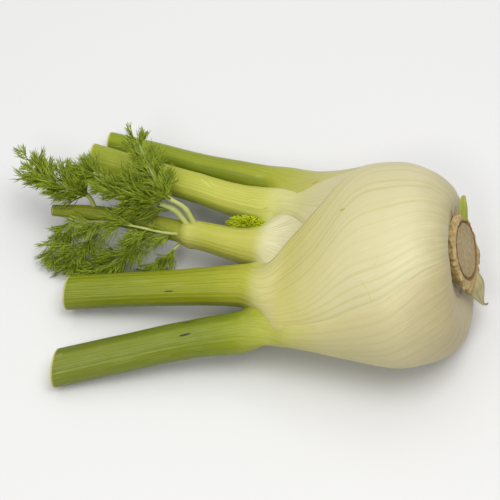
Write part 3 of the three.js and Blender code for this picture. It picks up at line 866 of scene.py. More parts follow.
def frond_twigs(frond, seed):
    """Roots, directions and lengths of a frond's side twigs: first those of the solid, from the same
    series, then fill - 1 times as many between them by the same rule."""
    series = random_series(seed)
    extra = np.random.default_rng(seed)
    count = frond["sprays"]
    t, turn, size, parity = [], [], [], []
    for k in range(count):
        t.append(frond["bare"] + (1 - frond["bare"]) * (k + 0.5) / count)
        turn.append((next(series) - 0.5) * TWIG_WAY["turn"])
        size.append(lerp(*TWIG_LENGTHS, next(series)))
        parity.append(k % 2)
        for _ in range(SOLID_THREADS):
            next(series)
    more = count * (frond["fill"] - 1)
    t += list(extra.uniform(frond["bare"] * FILL_FROM, frond.get("full", 1.0), more))
    turn += list(extra.uniform(-0.5, 0.5, more) * TWIG_WAY["turn"])
    size += list(extra.uniform(*FILL_LENGTHS, more))
    parity += list(extra.integers(0, 2, more))
    t, turn, size, parity = (np.array(x, float) for x in (t, turn, size, parity))
    route = frond["route"]
    row = t * (len(route) - 1)
    at = through(route, row)
    along = unit(through(route, row + 0.01) - through(route, row - 0.01))
    side = unit(np.cross(np.array([0, 0, 1.0]), along))
    side = rotate(side, along, parity * math.pi + turn)
    sweep = unit(np.array(frond["sweep"], float))
    trail = frond.get("trail", TWIG_WAY["sweep"])
    way = unit(side * TWIG_WAY["out"] + along * TWIG_WAY["along"] + sweep * trail)
    off_longest = np.abs(t - frond.get("longest", LONGEST_AT))
    length = frond["length"] * size * (1 - TWIG_TAPER * off_longest)
    return at, way, length


def branch(at, way, length, per, first, last, share, lean, draw):
    """Children of each twig: roots spread along it from first to last, and directions that lean out to
    both sides. Shapes grow by a factor of per."""
    count = len(at)
    step = (np.arange(per)[None, :] + draw.uniform(*CHILD_PLACES, (count, per))) / per
    along = lerp(first, last, step)
    root = at[:, None] + way[:, None] * (length[:, None] * along)[..., None]
    level = unit(np.cross(np.array([0.1, 0.2, 1.0]), way))[:, None].repeat(per, 1)
    axis = way[:, None].repeat(per, 1)
    angle = (np.arange(per) % 2)[None, :] * math.pi + draw.uniform(-0.5, 0.5, (count, per)) * BRANCH_TURN
    out = rotate(level, axis, angle)
    new_way = unit(axis + out * lean * draw.uniform(*CHILD_LEANS, (count, per))[..., None])
    vary = draw.uniform(*CHILD_LENGTHS, (count, per))
    new_length = length[:, None] * share * (1 - CHILD_SHRINK * along) * vary
    return root.reshape(-1, 3), new_way.reshape(-1, 3), new_length.ravel()


def frond_parts(frond, seed, thread_radius):
    """Points, faces and UVs of one frond in millimetres, with the kind of each lot: the midrib (0), its
    twigs, twiglets on both sides of each twig and fine threads on each twiglet (1), all slightly bowed
    towards the sweep."""
    draw = np.random.default_rng(seed + THREAD_SEEDS)
    at, way, length = frond_twigs(frond, seed)
    pieces = [rib_tube(frond["route"], frond["thick"])]
    if "stub" in frond:
        pieces.append(rib_tube(frond["stub"], STUB_RADIUS))
    lets = branch(at, way, length, *TWIGLETS, draw)
    fine = branch(*lets, *FINE_THREADS, draw)
    sweep = unit(np.array(frond["sweep"], float))
    levels = [(at, way, length), lets, fine]
    for (root, direction, size), thick in zip(levels, LEVEL_THICKNESS, strict=True):
        tip = root + direction * size[:, None]
        bow = draw.normal(0, BOW_SPREAD, (len(root), 3)) * size[:, None]
        bow = bow - sweep * BOW_TO_SWEEP * size[:, None]
        radius = thread_radius * thick * draw.uniform(*THREAD_THICKNESS, len(root))
        pieces.append(thread_tubes(root, tip, bow, radius))
    kinds = [0] * (len(pieces) - len(levels)) + [1] * len(levels)
    if "spray" in frond:
        more, more_kinds = frond_parts(frond["spray"], seed + SPRAY_SEEDS, thread_radius)
        pieces, kinds = pieces + more, kinds + more_kinds
    return pieces, kinds


def joined(name, pieces, materials, kinds):
    """One object from several lots of points, quads, caps and UVs, each with its own material."""
    points, quads, caps, uvs, quad_kind, cap_kind = [], [], [], [], [], []
    first = 0
    for (p, q, c, uv), kind in zip(pieces, kinds, strict=True):
        points.append(p)
        quads.append(q + first)
        caps.append(c + first)
        uvs.append(uv)
        quad_kind.append(np.full(len(q), kind))
        cap_kind.append(np.full(len(c), kind))
        first += len(p)
    points = (np.concatenate(points) + FROND_SHIFT) * MM
    faces = [np.concatenate(quads)]
    order = [*quad_kind]
    for corners in sorted({c.shape[1] for c in caps}):
        faces.append(np.concatenate([c for c in caps if c.shape[1] == corners]))
        order += [k for c, k in zip(caps, cap_kind, strict=True) if c.shape[1] == corners]
    return mesh_object(name, points, faces, np.concatenate(uvs), materials, np.concatenate(order))


def sheet_parts(grid, rows, columns, wall, curl, seed):
    """A thin closed sheet: a Catmull-Rom surface through the grid both ways, waved by curl millimetres,
    thickened by half the wall to both sides along its normals."""
    grid = np.asarray(grid, float)
    u = np.linspace(0, len(grid) - 1, rows)
    w = np.linspace(0, grid.shape[1] - 1, columns)
    down = through(grid.reshape(len(grid), -1), u).reshape(rows, -1, 3)
    turned = down.transpose(1, 0, 2).reshape(grid.shape[1], -1)
    sheet = through(turned, w).reshape(columns, rows, 3).transpose(1, 0, 2)
    flat = place(sheet[..., 0], sheet[..., 1], sheet[..., 2]) / MM
    normal = unit(np.cross(np.gradient(flat, axis=0), np.gradient(flat, axis=1)))
    rise = (u / u[-1])[:, None]
    across = (w / w[-1])[None, :]
    wave = ripple(seed, 7, (rise * 3, 3), (across * 4, 3)) * curl * rise
    middle = flat + normal * wave[..., None]
    taper = lerp(1, 0.45, rise) * np.ones_like(across)
    front = middle + normal * (wall / 2 * taper)[..., None]
    behind = middle - normal * (wall / 2 * taper)[..., None]
    across = np.broadcast_to(across, taper.shape)
    rise = np.broadcast_to(rise, taper.shape)
    around = np.concatenate([front, behind[:, ::-1]], axis=1)
    face_uv = np.stack([across, rise], -1)
    uv = np.concatenate([face_uv, face_uv[:, ::-1]], axis=1)
    total = columns * 2
    quads = grid_faces(rows, total)
    pair = np.arange(columns - 1)
    lid = np.stack([pair, pair + 1, total - 2 - pair, total - 1 - pair], 1)
    base = (rows - 1) * total
    return around.reshape(-1, 3), np.concatenate([quads, lid[:, ::-1], lid + base]), uv.reshape(-1, 2)


def srgb(red, green, blue):
    """A linear colour from sRGB values between 0 and 1."""
    linear = [c / 12.92 if c <= 0.04045 else ((c + 0.055) / 1.055) ** 2.4 for c in (red, green, blue)]
    return (*linear, 1.0)


def node(tree, kind, values=None, **settings):
    """A new node with its own settings and input values by name or number."""
    made = tree.nodes.new(kind)
    for key, value in settings.items():
        setattr(made, key, value)
    for key, value in (values or {}).items():
        made.inputs[key].default_value = value
    return made


def math_node(tree, operation, a, b=None, clamp=False):
    """A math node whose inputs are numbers or sockets, returned as its output."""
    made = node(tree, "ShaderNodeMath", operation=operation, use_clamp=clamp)
    for k, value in enumerate((a, b)):
        if value is None:
            continue
        if isinstance(value, (int, float)):
            made.inputs[k].default_value = value
        else:
            tree.links.new(value, made.inputs[k])
    return made.outputs[0]


def times(tree, a, b, clamp=False):
    """a times b, as an output."""
    return math_node(tree, "MULTIPLY", a, b, clamp)


def plus(tree, a, b):
    """a plus b, as an output."""
    return math_node(tree, "ADD", a, b)


def minus(tree, a, b):
    """a less b, as an output."""
    return math_node(tree, "SUBTRACT", a, b)


def swing(tree, value, reach):
    """A value between 0 and 1 as one that swings about 0 by half the reach, as an output."""
    return times(tree, minus(tree, value, 0.5), reach)


def step_node(tree, value, low, high, low_out=0.0, high_out=1.0):
    """A smooth step of a value between low and high, as an output."""
    made = node(tree, "ShaderNodeMapRange", interpolation_type="SMOOTHSTEP")
    tree.links.new(value, made.inputs["Value"])
    for key, number in (("From Min", low), ("From Max", high), ("To Min", low_out), ("To Max", high_out)):
        if isinstance(number, (int, float)):
            made.inputs[key].default_value = number
        else:
            tree.links.new(number, made.inputs[key])
    return made.outputs["Result"]


def mix_node(tree, factor, a, b, blend="MIX"):
    """A colour mix whose inputs are colours or sockets, as an output."""
    made = node(tree, "ShaderNodeMix", data_type="RGBA", blend_type=blend)
    sockets = (made.inputs["Factor"], made.inputs[6], made.inputs[7])
    for socket, value in zip(sockets, (factor, a, b), strict=True):
        if hasattr(value, "is_linked"):
            tree.links.new(value, socket)
        else:
            socket.default_value = value
    return made.outputs[2]


def shaded(tree, colour, *rgb):
    """The colour multiplied by an sRGB colour, as an output."""
    return mix_node(tree, 1.0, colour, srgb(*rgb), "MULTIPLY")


def painted(tree, colour, mask, strength, rgb):
    """The colour with an sRGB colour over it, as strong as the mask times the strength."""
    return mix_node(tree, times(tree, mask, strength), colour, srgb(*rgb))


def noise(tree, point, scale, detail, **more):
    """Noise at a point, as an output between 0 and 1."""
    made = node(tree, "ShaderNodeTexNoise", {"Scale": scale, "Detail": detail, **more})
    tree.links.new(point, made.inputs["Vector"])
    return made.outputs["Fac"]


def ramp_node(tree, value, stops):
    """A colour ramp through (position, sRGB colour) stops, as an output."""
    made = node(tree, "ShaderNodeValToRGB")
    elements = made.color_ramp.elements
    elements[0].position, elements[0].color = stops[0][0], srgb(*stops[0][1])
    elements[1].position, elements[1].color = stops[-1][0], srgb(*stops[-1][1])
    for position, rgb in stops[1:-1]:
        elements.new(position).color = srgb(*rgb)
    tree.links.new(value, made.inputs["Fac"])
    return made.outputs["Color"]


def start_group(name, inputs, outputs):
    """A node group with named sockets, and its input and output nodes."""
    group = bpy.data.node_groups.new(name, "ShaderNodeTree")
    for label, kind, value in inputs:
        socket = group.interface.new_socket(label, in_out="INPUT", socket_type=kind)
        if value is not None:
            socket.default_value = value
    for label, kind in outputs:
        group.interface.new_socket(label, in_out="OUTPUT", socket_type=kind)
    return group, group.nodes.new("NodeGroupInput"), group.nodes.new("NodeGroupOutput")


def fibre_group():
    """Fibres along a leaf, from its UV (x across, y along). Veins: soft lines at the points of
    one-dimensional Voronoi cells across the leaf, each with its own strength, wandering a little along
    it. Streaks: noise stretched along the leaf."""
    group, source, sink = start_group(
        "Leaf Fibres",
        [
            ("Surface", "NodeSocketVector", None),
            ("Lines", "NodeSocketFloat", 26.0),
            ("Line Width", "NodeSocketFloat", 0.26),
            ("Streaks", "NodeSocketFloat", 130.0),
        ],
        [("Vein", "NodeSocketFloat"), ("Streak", "NodeSocketFloat"), ("Height", "NodeSocketFloat")],
    )
    axes = node(group, "ShaderNodeSeparateXYZ")
    group.links.new(source.outputs["Surface"], axes.inputs[0])
    shift = swing(group, noise(group, source.outputs["Surface"], 3.0, 2.0), 0.06)
    across = plus(group, axes.outputs["X"], shift)
    cells = node(group, "ShaderNodeTexVoronoi", voronoi_dimensions="1D")
    half = math_node(group, "MULTIPLY", source.outputs["Lines"], 0.5)
    group.links.new(math_node(group, "MULTIPLY", across, half), cells.inputs["W"])
    cells.inputs["Scale"].default_value = 1.0
    cells.inputs["Randomness"].default_value = 0.75
    line = step_node(group, cells.outputs["Distance"], 0.0, source.outputs["Line Width"], 1.0, 0.0)
    own = node(group, "ShaderNodeSeparateColor")
    group.links.new(cells.outputs["Color"], own.inputs[0])
    strength = plus(group, times(group, own.outputs[0], 0.8), 0.2)
    vein = math_node(group, "MULTIPLY", line, strength)
    stretched = node(group, "ShaderNodeCombineXYZ")
    columns = times(group, axes.outputs["X"], source.outputs["Streaks"])
    group.links.new(columns, stretched.inputs["X"])
    group.links.new(times(group, axes.outputs["Y"], 6.0), stretched.inputs["Y"])
    streak = noise(group, stretched.outputs[0], 1.0, 3.0, Roughness=0.6)
    height = minus(group, times(group, streak, 0.5), times(group, vein, 0.5))
    group.links.new(vein, sink.inputs["Vein"])
    group.links.new(streak, sink.inputs["Streak"])
    group.links.new(height, sink.inputs["Height"])
    return group


def freckle_group():
    """Small spots in space: a fine Voronoi distance, thinned by a coarse noise."""
    group, source, sink = start_group(
        "Freckles",
        [
            ("Point", "NodeSocketVector", None),
            ("Size", "NodeSocketFloat", 900.0),
            ("Amount", "NodeSocketFloat", 0.5),
        ],
        [("Spots", "NodeSocketFloat"), ("Cloud", "NodeSocketFloat")],
    )
    cells = node(group, "ShaderNodeTexVoronoi", {"Randomness": 1.0})
    group.links.new(source.outputs["Point"], cells.inputs["Vector"])
    group.links.new(source.outputs["Size"], cells.inputs["Scale"])
    near = step_node(group, cells.outputs["Distance"], 0.12, 0.3, 1.0, 0.0)
    cloud = noise(group, source.outputs["Point"], 90.0, 3.0)
    sparse = step_node(group, cloud, 0.62, 0.72)
    spots = times(group, times(group, near, sparse), source.outputs["Amount"])
    group.links.new(spots, sink.inputs["Spots"])
    group.links.new(cloud, sink.inputs["Cloud"])
    return group


def mark_group():
    """A small mark on a surface: 1 inside a soft ellipse round a centre in UV, turned by an angle."""
    group, source, sink = start_group(
        "Mark",
        [
            ("Surface", "NodeSocketVector", None),
            ("Centre", "NodeSocketVector", (0.0, 0.0, 0.0)),
            ("Turn", "NodeSocketVector", (0.0, 0.0, 0.0)),
            ("Reach", "NodeSocketVector", (1.0, 1.0, 1.0)),
        ],
        [("Mask", "NodeSocketFloat")],
    )
    moved = node(group, "ShaderNodeVectorMath", operation="SUBTRACT")
    group.links.new(source.outputs["Surface"], moved.inputs[0])
    group.links.new(source.outputs["Centre"], moved.inputs[1])
    turned = node(group, "ShaderNodeVectorRotate", rotation_type="EULER_XYZ")
    group.links.new(moved.outputs[0], turned.inputs["Vector"])
    group.links.new(source.outputs["Turn"], turned.inputs["Rotation"])
    scaled = node(group, "ShaderNodeVectorMath", operation="DIVIDE")
    group.links.new(turned.outputs[0], scaled.inputs[0])
    group.links.new(source.outputs["Reach"], scaled.inputs[1])
    distance = node(group, "ShaderNodeVectorMath", operation="LENGTH")
    group.links.new(scaled.outputs[0], distance.inputs[0])
    group.links.new(step_node(group, distance.outputs["Value"], 0.6, 1.1, 1.0, 0.0), sink.inputs["Mask"])
    return group


GROUPS = {"Leaf Fibres": fibre_group, "Freckles": freckle_group, "Mark": mark_group}


def use_group(tree, name, links, **values):
    """A node group placed in a tree with its own links and values."""
    made = node(tree, "ShaderNodeGroup")
    made.node_tree = bpy.data.node_groups.get(name) or GROUPS[name]()
    for key, output in links.items():
        tree.links.new(output, made.inputs[key])
    for key, value in values.items():
        made.inputs[key.replace("_", " ")].default_value = value
    return made


def start_material(name, **surface):
    """A material with a Principled shader whose constant values are set on its own sockets."""
    material = bpy.data.materials.new(name)
    material.use_nodes = True
    tree = material.node_tree
    shader = tree.nodes["Principled BSDF"]
    for key, value in surface.items():
        shader.inputs[key.replace("_", " ")].default_value = value
    return material, tree, shader


def surface_axes(tree):
    """The piece's own UV with its x and its y, as outputs."""
    uv = node(tree, "ShaderNodeUVMap", uv_map="surface").outputs["UV"]
    axes = node(tree, "ShaderNodeSeparateXYZ")
    tree.links.new(uv, axes.inputs[0])
    return uv, axes.outputs["X"], axes.outputs["Y"]


def object_point(tree):
    """Object coordinates as an output."""
    return node(tree, "ShaderNodeTexCoord").outputs["Object"]


def add_bump(tree, shader, height, strength, distance):
    """A bump of the height, with its distance in metres, feeds the shader's normal."""
    bump = node(tree, "ShaderNodeBump", {"Strength": strength, "Distance": distance})
    tree.links.new(height, bump.inputs["Height"])
    tree.links.new(bump.outputs["Normal"], shader.inputs["Normal"])


# In the leaves' UV y is q divided by UV_Q, and their colour ramps run from q = 0 to RAMP_Q. The neck's pale
# silvery colour, partly its own dry skin and partly painted sheen, lies round q = SILVER_Q. Both ends of
# the step from a sheath's veins to a stalk's are UV values.
UV_Q = 100.0
RAMP_Q = 220.0
SILVER_Q = 95.0
ON_STALK = (0.98, 1.16)

# The dry skin round the crown, in metres: its centre, how far it reaches, and how torn its edge is.
DRY_CENTRE = (0.1109, 0.0088, 0.0478)
DRY_REACH = 0.0222
DRY_TORN = 0.014
DRY_EDGE = 0.0008

# Small marks on the leaves, one of them a painted shadow line: (v, q) of both ends, half width in UV, sRGB
# colour and strength.
MARKS = {
    "leaf_front": [
        ((0.78, 132.0), (0.85, 129.2), 0.03, (0.08, 0.09, 0.05), 0.95),
    ],
    "leaf_face": [
        ((0.09, 145.2), (0.05, 142.8), 0.028, (0.08, 0.09, 0.05), 0.95),
        ((0.335, 57.6), (0.243, 54.2), 0.006, (0.58, 0.63, 0.22), 0.7),
        ((-0.510, 42.4), (-0.625, 38.6), 0.0028, (0.66, 0.66, 0.36), 0.55),
        ((-0.615, 38.7), (-0.755, 36.5), 0.0028, (0.66, 0.66, 0.36), 0.45),
        # Painted shadow: a dark line at this leaf's free margin, standing for the shadow of the margin's
        # step.
        ((0.985, 95.5), (0.990, 90.3), 0.014, (0.42, 0.42, 0.20), 0.6),
    ],
    "leaf_back": [((-0.965, 76.6), (-0.955, 81.0), 0.012, (0.60, 0.47, 0.28), 0.8)],
    "leaf_inner": [
        ((-0.36, 141.0), (-0.60, 134.0), 0.008, (0.80, 0.81, 0.52), 0.5),
        ((-0.30, 137.0), (-0.52, 131.0), 0.006, (0.80, 0.81, 0.52), 0.4),
        ((-0.87, 104.4), (-0.84, 102.6), 0.012, (0.48, 0.56, 0.10), 0.8),
    ],
}


def leaf_material(leaf, settings):
    """Waxy leaf skin: colours by q with stretched noise, thin darker veins, paler and darker streaks, a
    pale silvery neck that is partly its own dry skin and partly painted sheen, painted shade in green
    inside the stalk's channel, sparse freckles, dry husk round the crown, a pale brown rim at the cut, and
    the marks, one of which is a painted shadow line."""
    material, tree, shader = start_material(
        "skin " + leaf["name"].replace("_", " "),
        Subsurface_Weight=0.12,
        Subsurface_Radius=(1.0, 0.9, 0.35),
        Subsurface_Scale=0.003,
        Specular_IOR_Level=0.3,
    )
    uv, _, y = surface_axes(tree)
    point = object_point(tree)
    fibres = use_group(tree, "Leaf Fibres", {"Surface": uv}, Lines=float(leaf["lines"])).outputs
    freckles = use_group(tree, "Freckles", {"Point": point}, Amount=0.35).outputs
    streak, cloud = fibres["Streak"], freckles["Cloud"]
    at = plus(tree, times(tree, y, UV_Q / RAMP_Q), swing(tree, cloud, 0.05))
    at = plus(tree, at, swing(tree, streak, 0.09))
    skin = ramp_node(tree, at, [(q / RAMP_Q, rgb) for q, rgb in leaf["skin"]])
    on_stalk = step_node(tree, y, *ON_STALK)
    vein = times(tree, fibres["Vein"], leaf["line_strength"] * settings.vein_strength)
    vein = times(tree, vein, plus(tree, times(tree, on_stalk, 1.2), 1.0), clamp=True)
    colour = mix_node(tree, vein, skin, shaded(tree, skin, 0.86, 0.88, 0.62))
    light = step_node(tree, streak, 0.54, 0.70)
    colour = painted(tree, colour, light, 0.2, (0.90, 0.90, 0.62))
    # Pale silvery neck: partly the dry skin's own colour and partly painted sheen.
    off_neck = math_node(tree, "DIVIDE", minus(tree, y, SILVER_Q / UV_Q), 0.1)
    near_neck = step_node(tree, math_node(tree, "ABSOLUTE", off_neck), 1.2, 0.4)
    silver_and_sheen = times(tree, near_neck, step_node(tree, streak, 0.40, 0.62))
    colour = painted(tree, colour, silver_and_sheen, leaf["silver_and_sheen"], (0.92, 0.90, 0.80))
    dark = times(tree, step_node(tree, streak, 0.45, 0.28), on_stalk)
    dark = times(tree, dark, settings.streak_strength)
    colour = mix_node(tree, dark, colour, shaded(tree, colour, 0.72, 0.78, 0.45))
    # Painted shade: the inside of a stalk's channel, held in the inner attribute, is made darker and
    # greener where shadow falls.
    inner = node(tree, "ShaderNodeAttribute", attribute_name="inner").outputs["Fac"]
    colour = mix_node(tree, times(tree, inner, 0.5), colour, shaded(tree, colour, 0.66, 0.72, 0.40))
    colour = mix_node(tree, freckles["Spots"], colour, srgb(0.50, 0.52, 0.22))
    reach = node(tree, "ShaderNodeVectorMath", {1: DRY_CENTRE}, operation="DISTANCE")
    tree.links.new(point, reach.inputs[0])
    off_crown = plus(tree, reach.outputs["Value"], swing(tree, cloud, DRY_TORN))
    dry = step_node(tree, off_crown, DRY_REACH + DRY_EDGE, DRY_REACH - DRY_EDGE)
    flake = step_node(tree, noise(tree, point, 330.0, 4.0), 0.42, 0.6)
    husk = mix_node(tree, flake, srgb(0.57, 0.45, 0.28), srgb(0.77, 0.69, 0.51))
    colour = mix_node(tree, times(tree, dry, 0.9), colour, husk)
    end = leaf["stalk"][-1][0] / UV_Q
    rim = step_node(tree, y, end - 0.012, end - 0.004)
    colour = painted(tree, colour, rim, 0.7, (0.80, 0.76, 0.52))
    for (v0, q0), (v1, q1), wide, rgb, strength in MARKS.get(leaf["name"], []):
        across, length = (v1 - v0) / 2, (q1 - q0) / 2 / UV_Q
        mark = use_group(
            tree,
            "Mark",
            {"Surface": uv},
            Centre=((v0 + v1) / 2, (q0 + q1) / 2 / UV_Q, 0.0),
            Reach=(math.hypot(across, length), wide, 1.0),
            Turn=(0.0, 0.0, -math.atan2(length, across)),
        )
        colour = painted(tree, colour, mark.outputs["Mask"], strength, rgb)
    tree.links.new(colour, shader.inputs["Base Color"])
    rough = plus(tree, settings.gloss_roughness, times(tree, streak, 0.16))
    tree.links.new(rough, shader.inputs["Roughness"])
    add_bump(tree, shader, fibres["Height"], 0.35, 0.0004)
    return material


def cut_material():
    """The cut end of a stalk: pale wet pith, greener and stringy towards the skin, with a pale rim and
    darker pores. UV y is 1 at the skin and 0 in the middle, x runs round."""
    material, tree, shader = start_material(
        "cut stalk end", Roughness=0.5, Subsurface_Weight=0.2, Subsurface_Scale=0.003
    )
    y = surface_axes(tree)[2]
    stops = [
        (0.0, (0.86, 0.86, 0.62)),
        (0.7, (0.80, 0.81, 0.50)),
        (0.93, (0.66, 0.70, 0.30)),
        (1.0, (0.78, 0.74, 0.50)),
    ]
    cells = node(tree, "ShaderNodeTexVoronoi", {"Scale": 700.0})
    tree.links.new(object_point(tree), cells.inputs["Vector"])
    pores = step_node(tree, cells.outputs["Distance"], 0.1, 0.4, 1.0, 0.0)
    colour = painted(tree, ramp_node(tree, y, stops), pores, 0.35, (0.60, 0.62, 0.30))
    tree.links.new(colour, shader.inputs["Base Color"])
    add_bump(tree, shader, cells.outputs["Distance"], 0.4, 0.0004)
    return material


def crown_material(settings):
    """The trimmed crown. UV y is the way from inside the bulb (0) over the torn rim (0.57) to the middle
    of the cut (1): a flaky cream and tan side, a brown ring with small dark strands, and a tan disc."""
    material, tree, shader = start_material("cut crown", Specular_IOR_Level=0.25)
    _, x, y = surface_axes(tree)
    point = object_point(tree)
    grain = noise(tree, point, 520.0, 5.0, Roughness=0.65)
    patch = noise(tree, point, 170.0, 4.0, Distortion=0.8)
    at = plus(tree, y, plus(tree, swing(tree, patch, 0.02), swing(tree, grain, 0.07)))
    stops = [
        (0.0, (0.65, 0.59, 0.41)),
        (0.42, (0.63, 0.57, 0.39)),
        (0.53, (0.69, 0.62, 0.45)),
        (0.59, (0.68, 0.60, 0.44)),
        (0.64, (0.68, 0.60, 0.43)),
        (RING_AT - 0.024, (0.58, 0.45, 0.28)),
        (RING_AT - 0.008, (0.50, 0.37, 0.21)),
        (RING_AT + 0.012, (0.50, 0.38, 0.23)),
        (RING_AT + 0.03, (0.62, 0.55, 0.41)),
        (1.0, (0.64, 0.59, 0.46)),
    ]
    colour = ramp_node(tree, at, stops)
    side = step_node(tree, y, 0.66, 0.6)
    brown = times(tree, step_node(tree, patch, 0.52, 0.60), side)
    colour = painted(tree, colour, brown, 0.6, (0.62, 0.52, 0.36))
    green = times(tree, step_node(tree, patch, 0.42, 0.36), side)
    colour = painted(tree, colour, green, 0.35, (0.66, 0.69, 0.40))
    dots = node(tree, "ShaderNodeTexVoronoi", voronoi_dimensions="1D")
    dots.inputs["Scale"].default_value = 1.0
    dots.inputs["Randomness"].default_value = 0.6
    tree.links.new(times(tree, x, STRANDS), dots.inputs["W"])
    off_ring = math_node(tree, "ABSOLUTE", minus(tree, at, RING_AT + 0.004))
    on_ring = step_node(tree, off_ring, 0.020, 0.010)
    strand = times(tree, step_node(tree, dots.outputs["Distance"], 0.30, 0.2), on_ring)
    colour = painted(tree, colour, strand, 0.85, (0.27, 0.31, 0.26))
    speck = step_node(tree, grain, 0.40, 0.62)
    grey = mix_node(tree, speck, srgb(0.58, 0.53, 0.44), srgb(0.86, 0.83, 0.74))
    colour = mix_node(tree, 0.35, colour, grey, "OVERLAY")
    tree.links.new(colour, shader.inputs["Base Color"])
    tree.links.new(step_node(tree, grain, 0.3, 0.7, 0.65, 0.9), shader.inputs["Roughness"])
    add_bump(tree, shader, grain, settings.crown_bump, 0.0007)
    return material


def scale_material(name, base, tip, streaks):
    """A thin scale: from its base to its tip colour, with streaks along it and small dark blotches."""
    material, tree, shader = start_material(
        name, Subsurface_Weight=0.15, Subsurface_Scale=0.002, Specular_IOR_Level=0.3
    )
    uv, _, y = surface_axes(tree)
    lines = {"Lines": 14.0, "Streaks": streaks, "Line_Width": 0.3}
    fibres = use_group(tree, "Leaf Fibres", {"Surface": uv}, **lines).outputs
    freckles = use_group(tree, "Freckles", {"Point": object_point(tree)}, Size=1400.0, Amount=0.5)
    shade = plus(tree, y, times(tree, fibres["Streak"], 0.3))
    colour = ramp_node(tree, shade, [(0.15, base), (1.2 / 1.3, tip)])
    dark = shaded(tree, colour, 0.72, 0.70, 0.60)
    colour = mix_node(tree, times(tree, fibres["Vein"], 0.5), colour, dark)
    colour = mix_node(tree, freckles.outputs["Spots"], colour, dark)
    tree.links.new(colour, shader.inputs["Base Color"])
    rough = step_node(tree, fibres["Streak"], 0.2, 0.8, 0.5, 0.75)
    tree.links.new(rough, shader.inputs["Roughness"])
    add_bump(tree, shader, fibres["Height"], 0.5, 0.0004)
    return material


def thread_material(name, low, high, root):
    """Feathery threads: each thread has its own shade between low and high by its UV x, paler towards
    its root by UV y, with soft changes in space."""
    material, tree, shader = start_material(
        name, Roughness=0.5, Specular_IOR_Level=0.3, Subsurface_Weight=0.05, Subsurface_Scale=0.001
    )
    _, x, y = surface_axes(tree)
    cloud = noise(tree, object_point(tree), 120.0, 2.0)
    shade = plus(tree, times(tree, x, 0.6), times(tree, cloud, 0.4))
    colour = ramp_node(tree, shade, [(0.15, low), (0.85, high)])
    pale = step_node(tree, y, 0.35, 0.0, 0.0, 0.45)
    tree.links.new(mix_node(tree, pale, colour, srgb(*root)), shader.inputs["Base Color"])
    return material


def rib_material():
    """The fronds' midribs: smooth pale green with faint stripes along them."""
    material, tree, shader = start_material("frond midrib", Roughness=0.45, Specular_IOR_Level=0.4)
    uv, _, y = surface_axes(tree)
    fibres = use_group(tree, "Leaf Fibres", {"Surface": uv}, Lines=18.0, Streaks=40.0).outputs
    stops = [(0.0, (0.66, 0.68, 0.33)), (0.5, (0.62, 0.66, 0.32)), (1.0, (0.46, 0.53, 0.18))]
    colour = ramp_node(tree, y, stops)
    light = mix_node(tree, 1.0, colour, srgb(1.0, 1.0, 0.92), "SCREEN")
    colour = mix_node(tree, times(tree, fibres["Streak"], 0.12), colour, light)
    tree.links.new(colour, shader.inputs["Base Color"])
    add_bump(tree, shader, fibres["Height"], 0.3, 0.0003)
    return material


def floor_material(settings):
    """A plain pale floor with a very faint unevenness."""
    material, tree, shader = start_material("pale floor", Roughness=0.85, Specular_IOR_Level=0.1)
    cloud = noise(tree, object_point(tree), 3.0, 2.0)
    tone = settings.floor_tone
    duller = (tone * 0.98, tone * 0.98, tone * 0.975, 1.0)
    colour = mix_node(tree, cloud, (tone, tone, tone, 1.0), duller)
    tree.links.new(colour, shader.inputs["Base Color"])
    return material


# The limits of a setting that is a share.
FACTOR = {"min": 0.0, "max": 1.0, "subtype": "FACTOR"}


class FennelLeafSettings(bpy.types.PropertyGroup):
    """Sizes and looks of the leaf bases."""

    rib_height: bpy.props.FloatProperty(
        name="Rib Height",
        description="Height of the ribs on the leaf bases, in millimetres",
        default=0.02,
        min=0.0,
        max=1.0,
    )
    wave_height: bpy.props.FloatProperty(
        name="Wave Height",
        description="Height of the broad soft waves on the leaf bases, in millimetres",
        default=0.18,
        min=0.0,
        max=1.0,
    )
    wrinkle_height: bpy.props.FloatProperty(
        name="Wrinkle Height",
        description="Height of the wrinkles where leaf bases narrow into stalks, in millimetres",
        default=0.05,
        min=0.0,
        max=0.5,
    )
    vein_strength: bpy.props.FloatProperty(
        name="Vein Strength",
        description="How strongly the veins show in the colour",
        default=0.55,
        min=0.0,
        max=2.0,
        subtype="FACTOR",
    )
    streak_strength: bpy.props.FloatProperty(
        name="Streak Strength",
        description="How strongly dark streaks show along the stalks",
        default=0.75,
        **FACTOR,
    )
    gloss_roughness: bpy.props.FloatProperty(
        name="Skin Roughness",
        description="Roughness of the waxy skin before its streaks are added",
        default=0.34,
        **FACTOR,
    )
    crown_bump: bpy.props.FloatProperty(
        name="Crown Bump",
        description="Strength of the flaky grain on the crown",
        default=0.8,
        **FACTOR,
    )


class FennelFrondSettings(bpy.types.PropertyGroup):
    """Sizes and colours of the fronds and the bud."""

    thread_radius: bpy.props.FloatProperty(
        name="Thread Radius",
        description="Radius of a frond's thread at its root, in millimetres",
        default=0.29,
        min=0.1,
        max=1.0,
    )
    dark: bpy.props.FloatVectorProperty(
        name="Dark Thread",
        description="sRGB colour of the darkest threads",
        default=(0.35, 0.43, 0.03),
        size=3,
        min=0.0,
        max=1.0,
    )
    light: bpy.props.FloatVectorProperty(
        name="Light Thread",
        description="sRGB colour of the lightest threads",
        default=(0.63, 0.70, 0.16),
        size=3,
        min=0.0,
        max=1.0,
    )


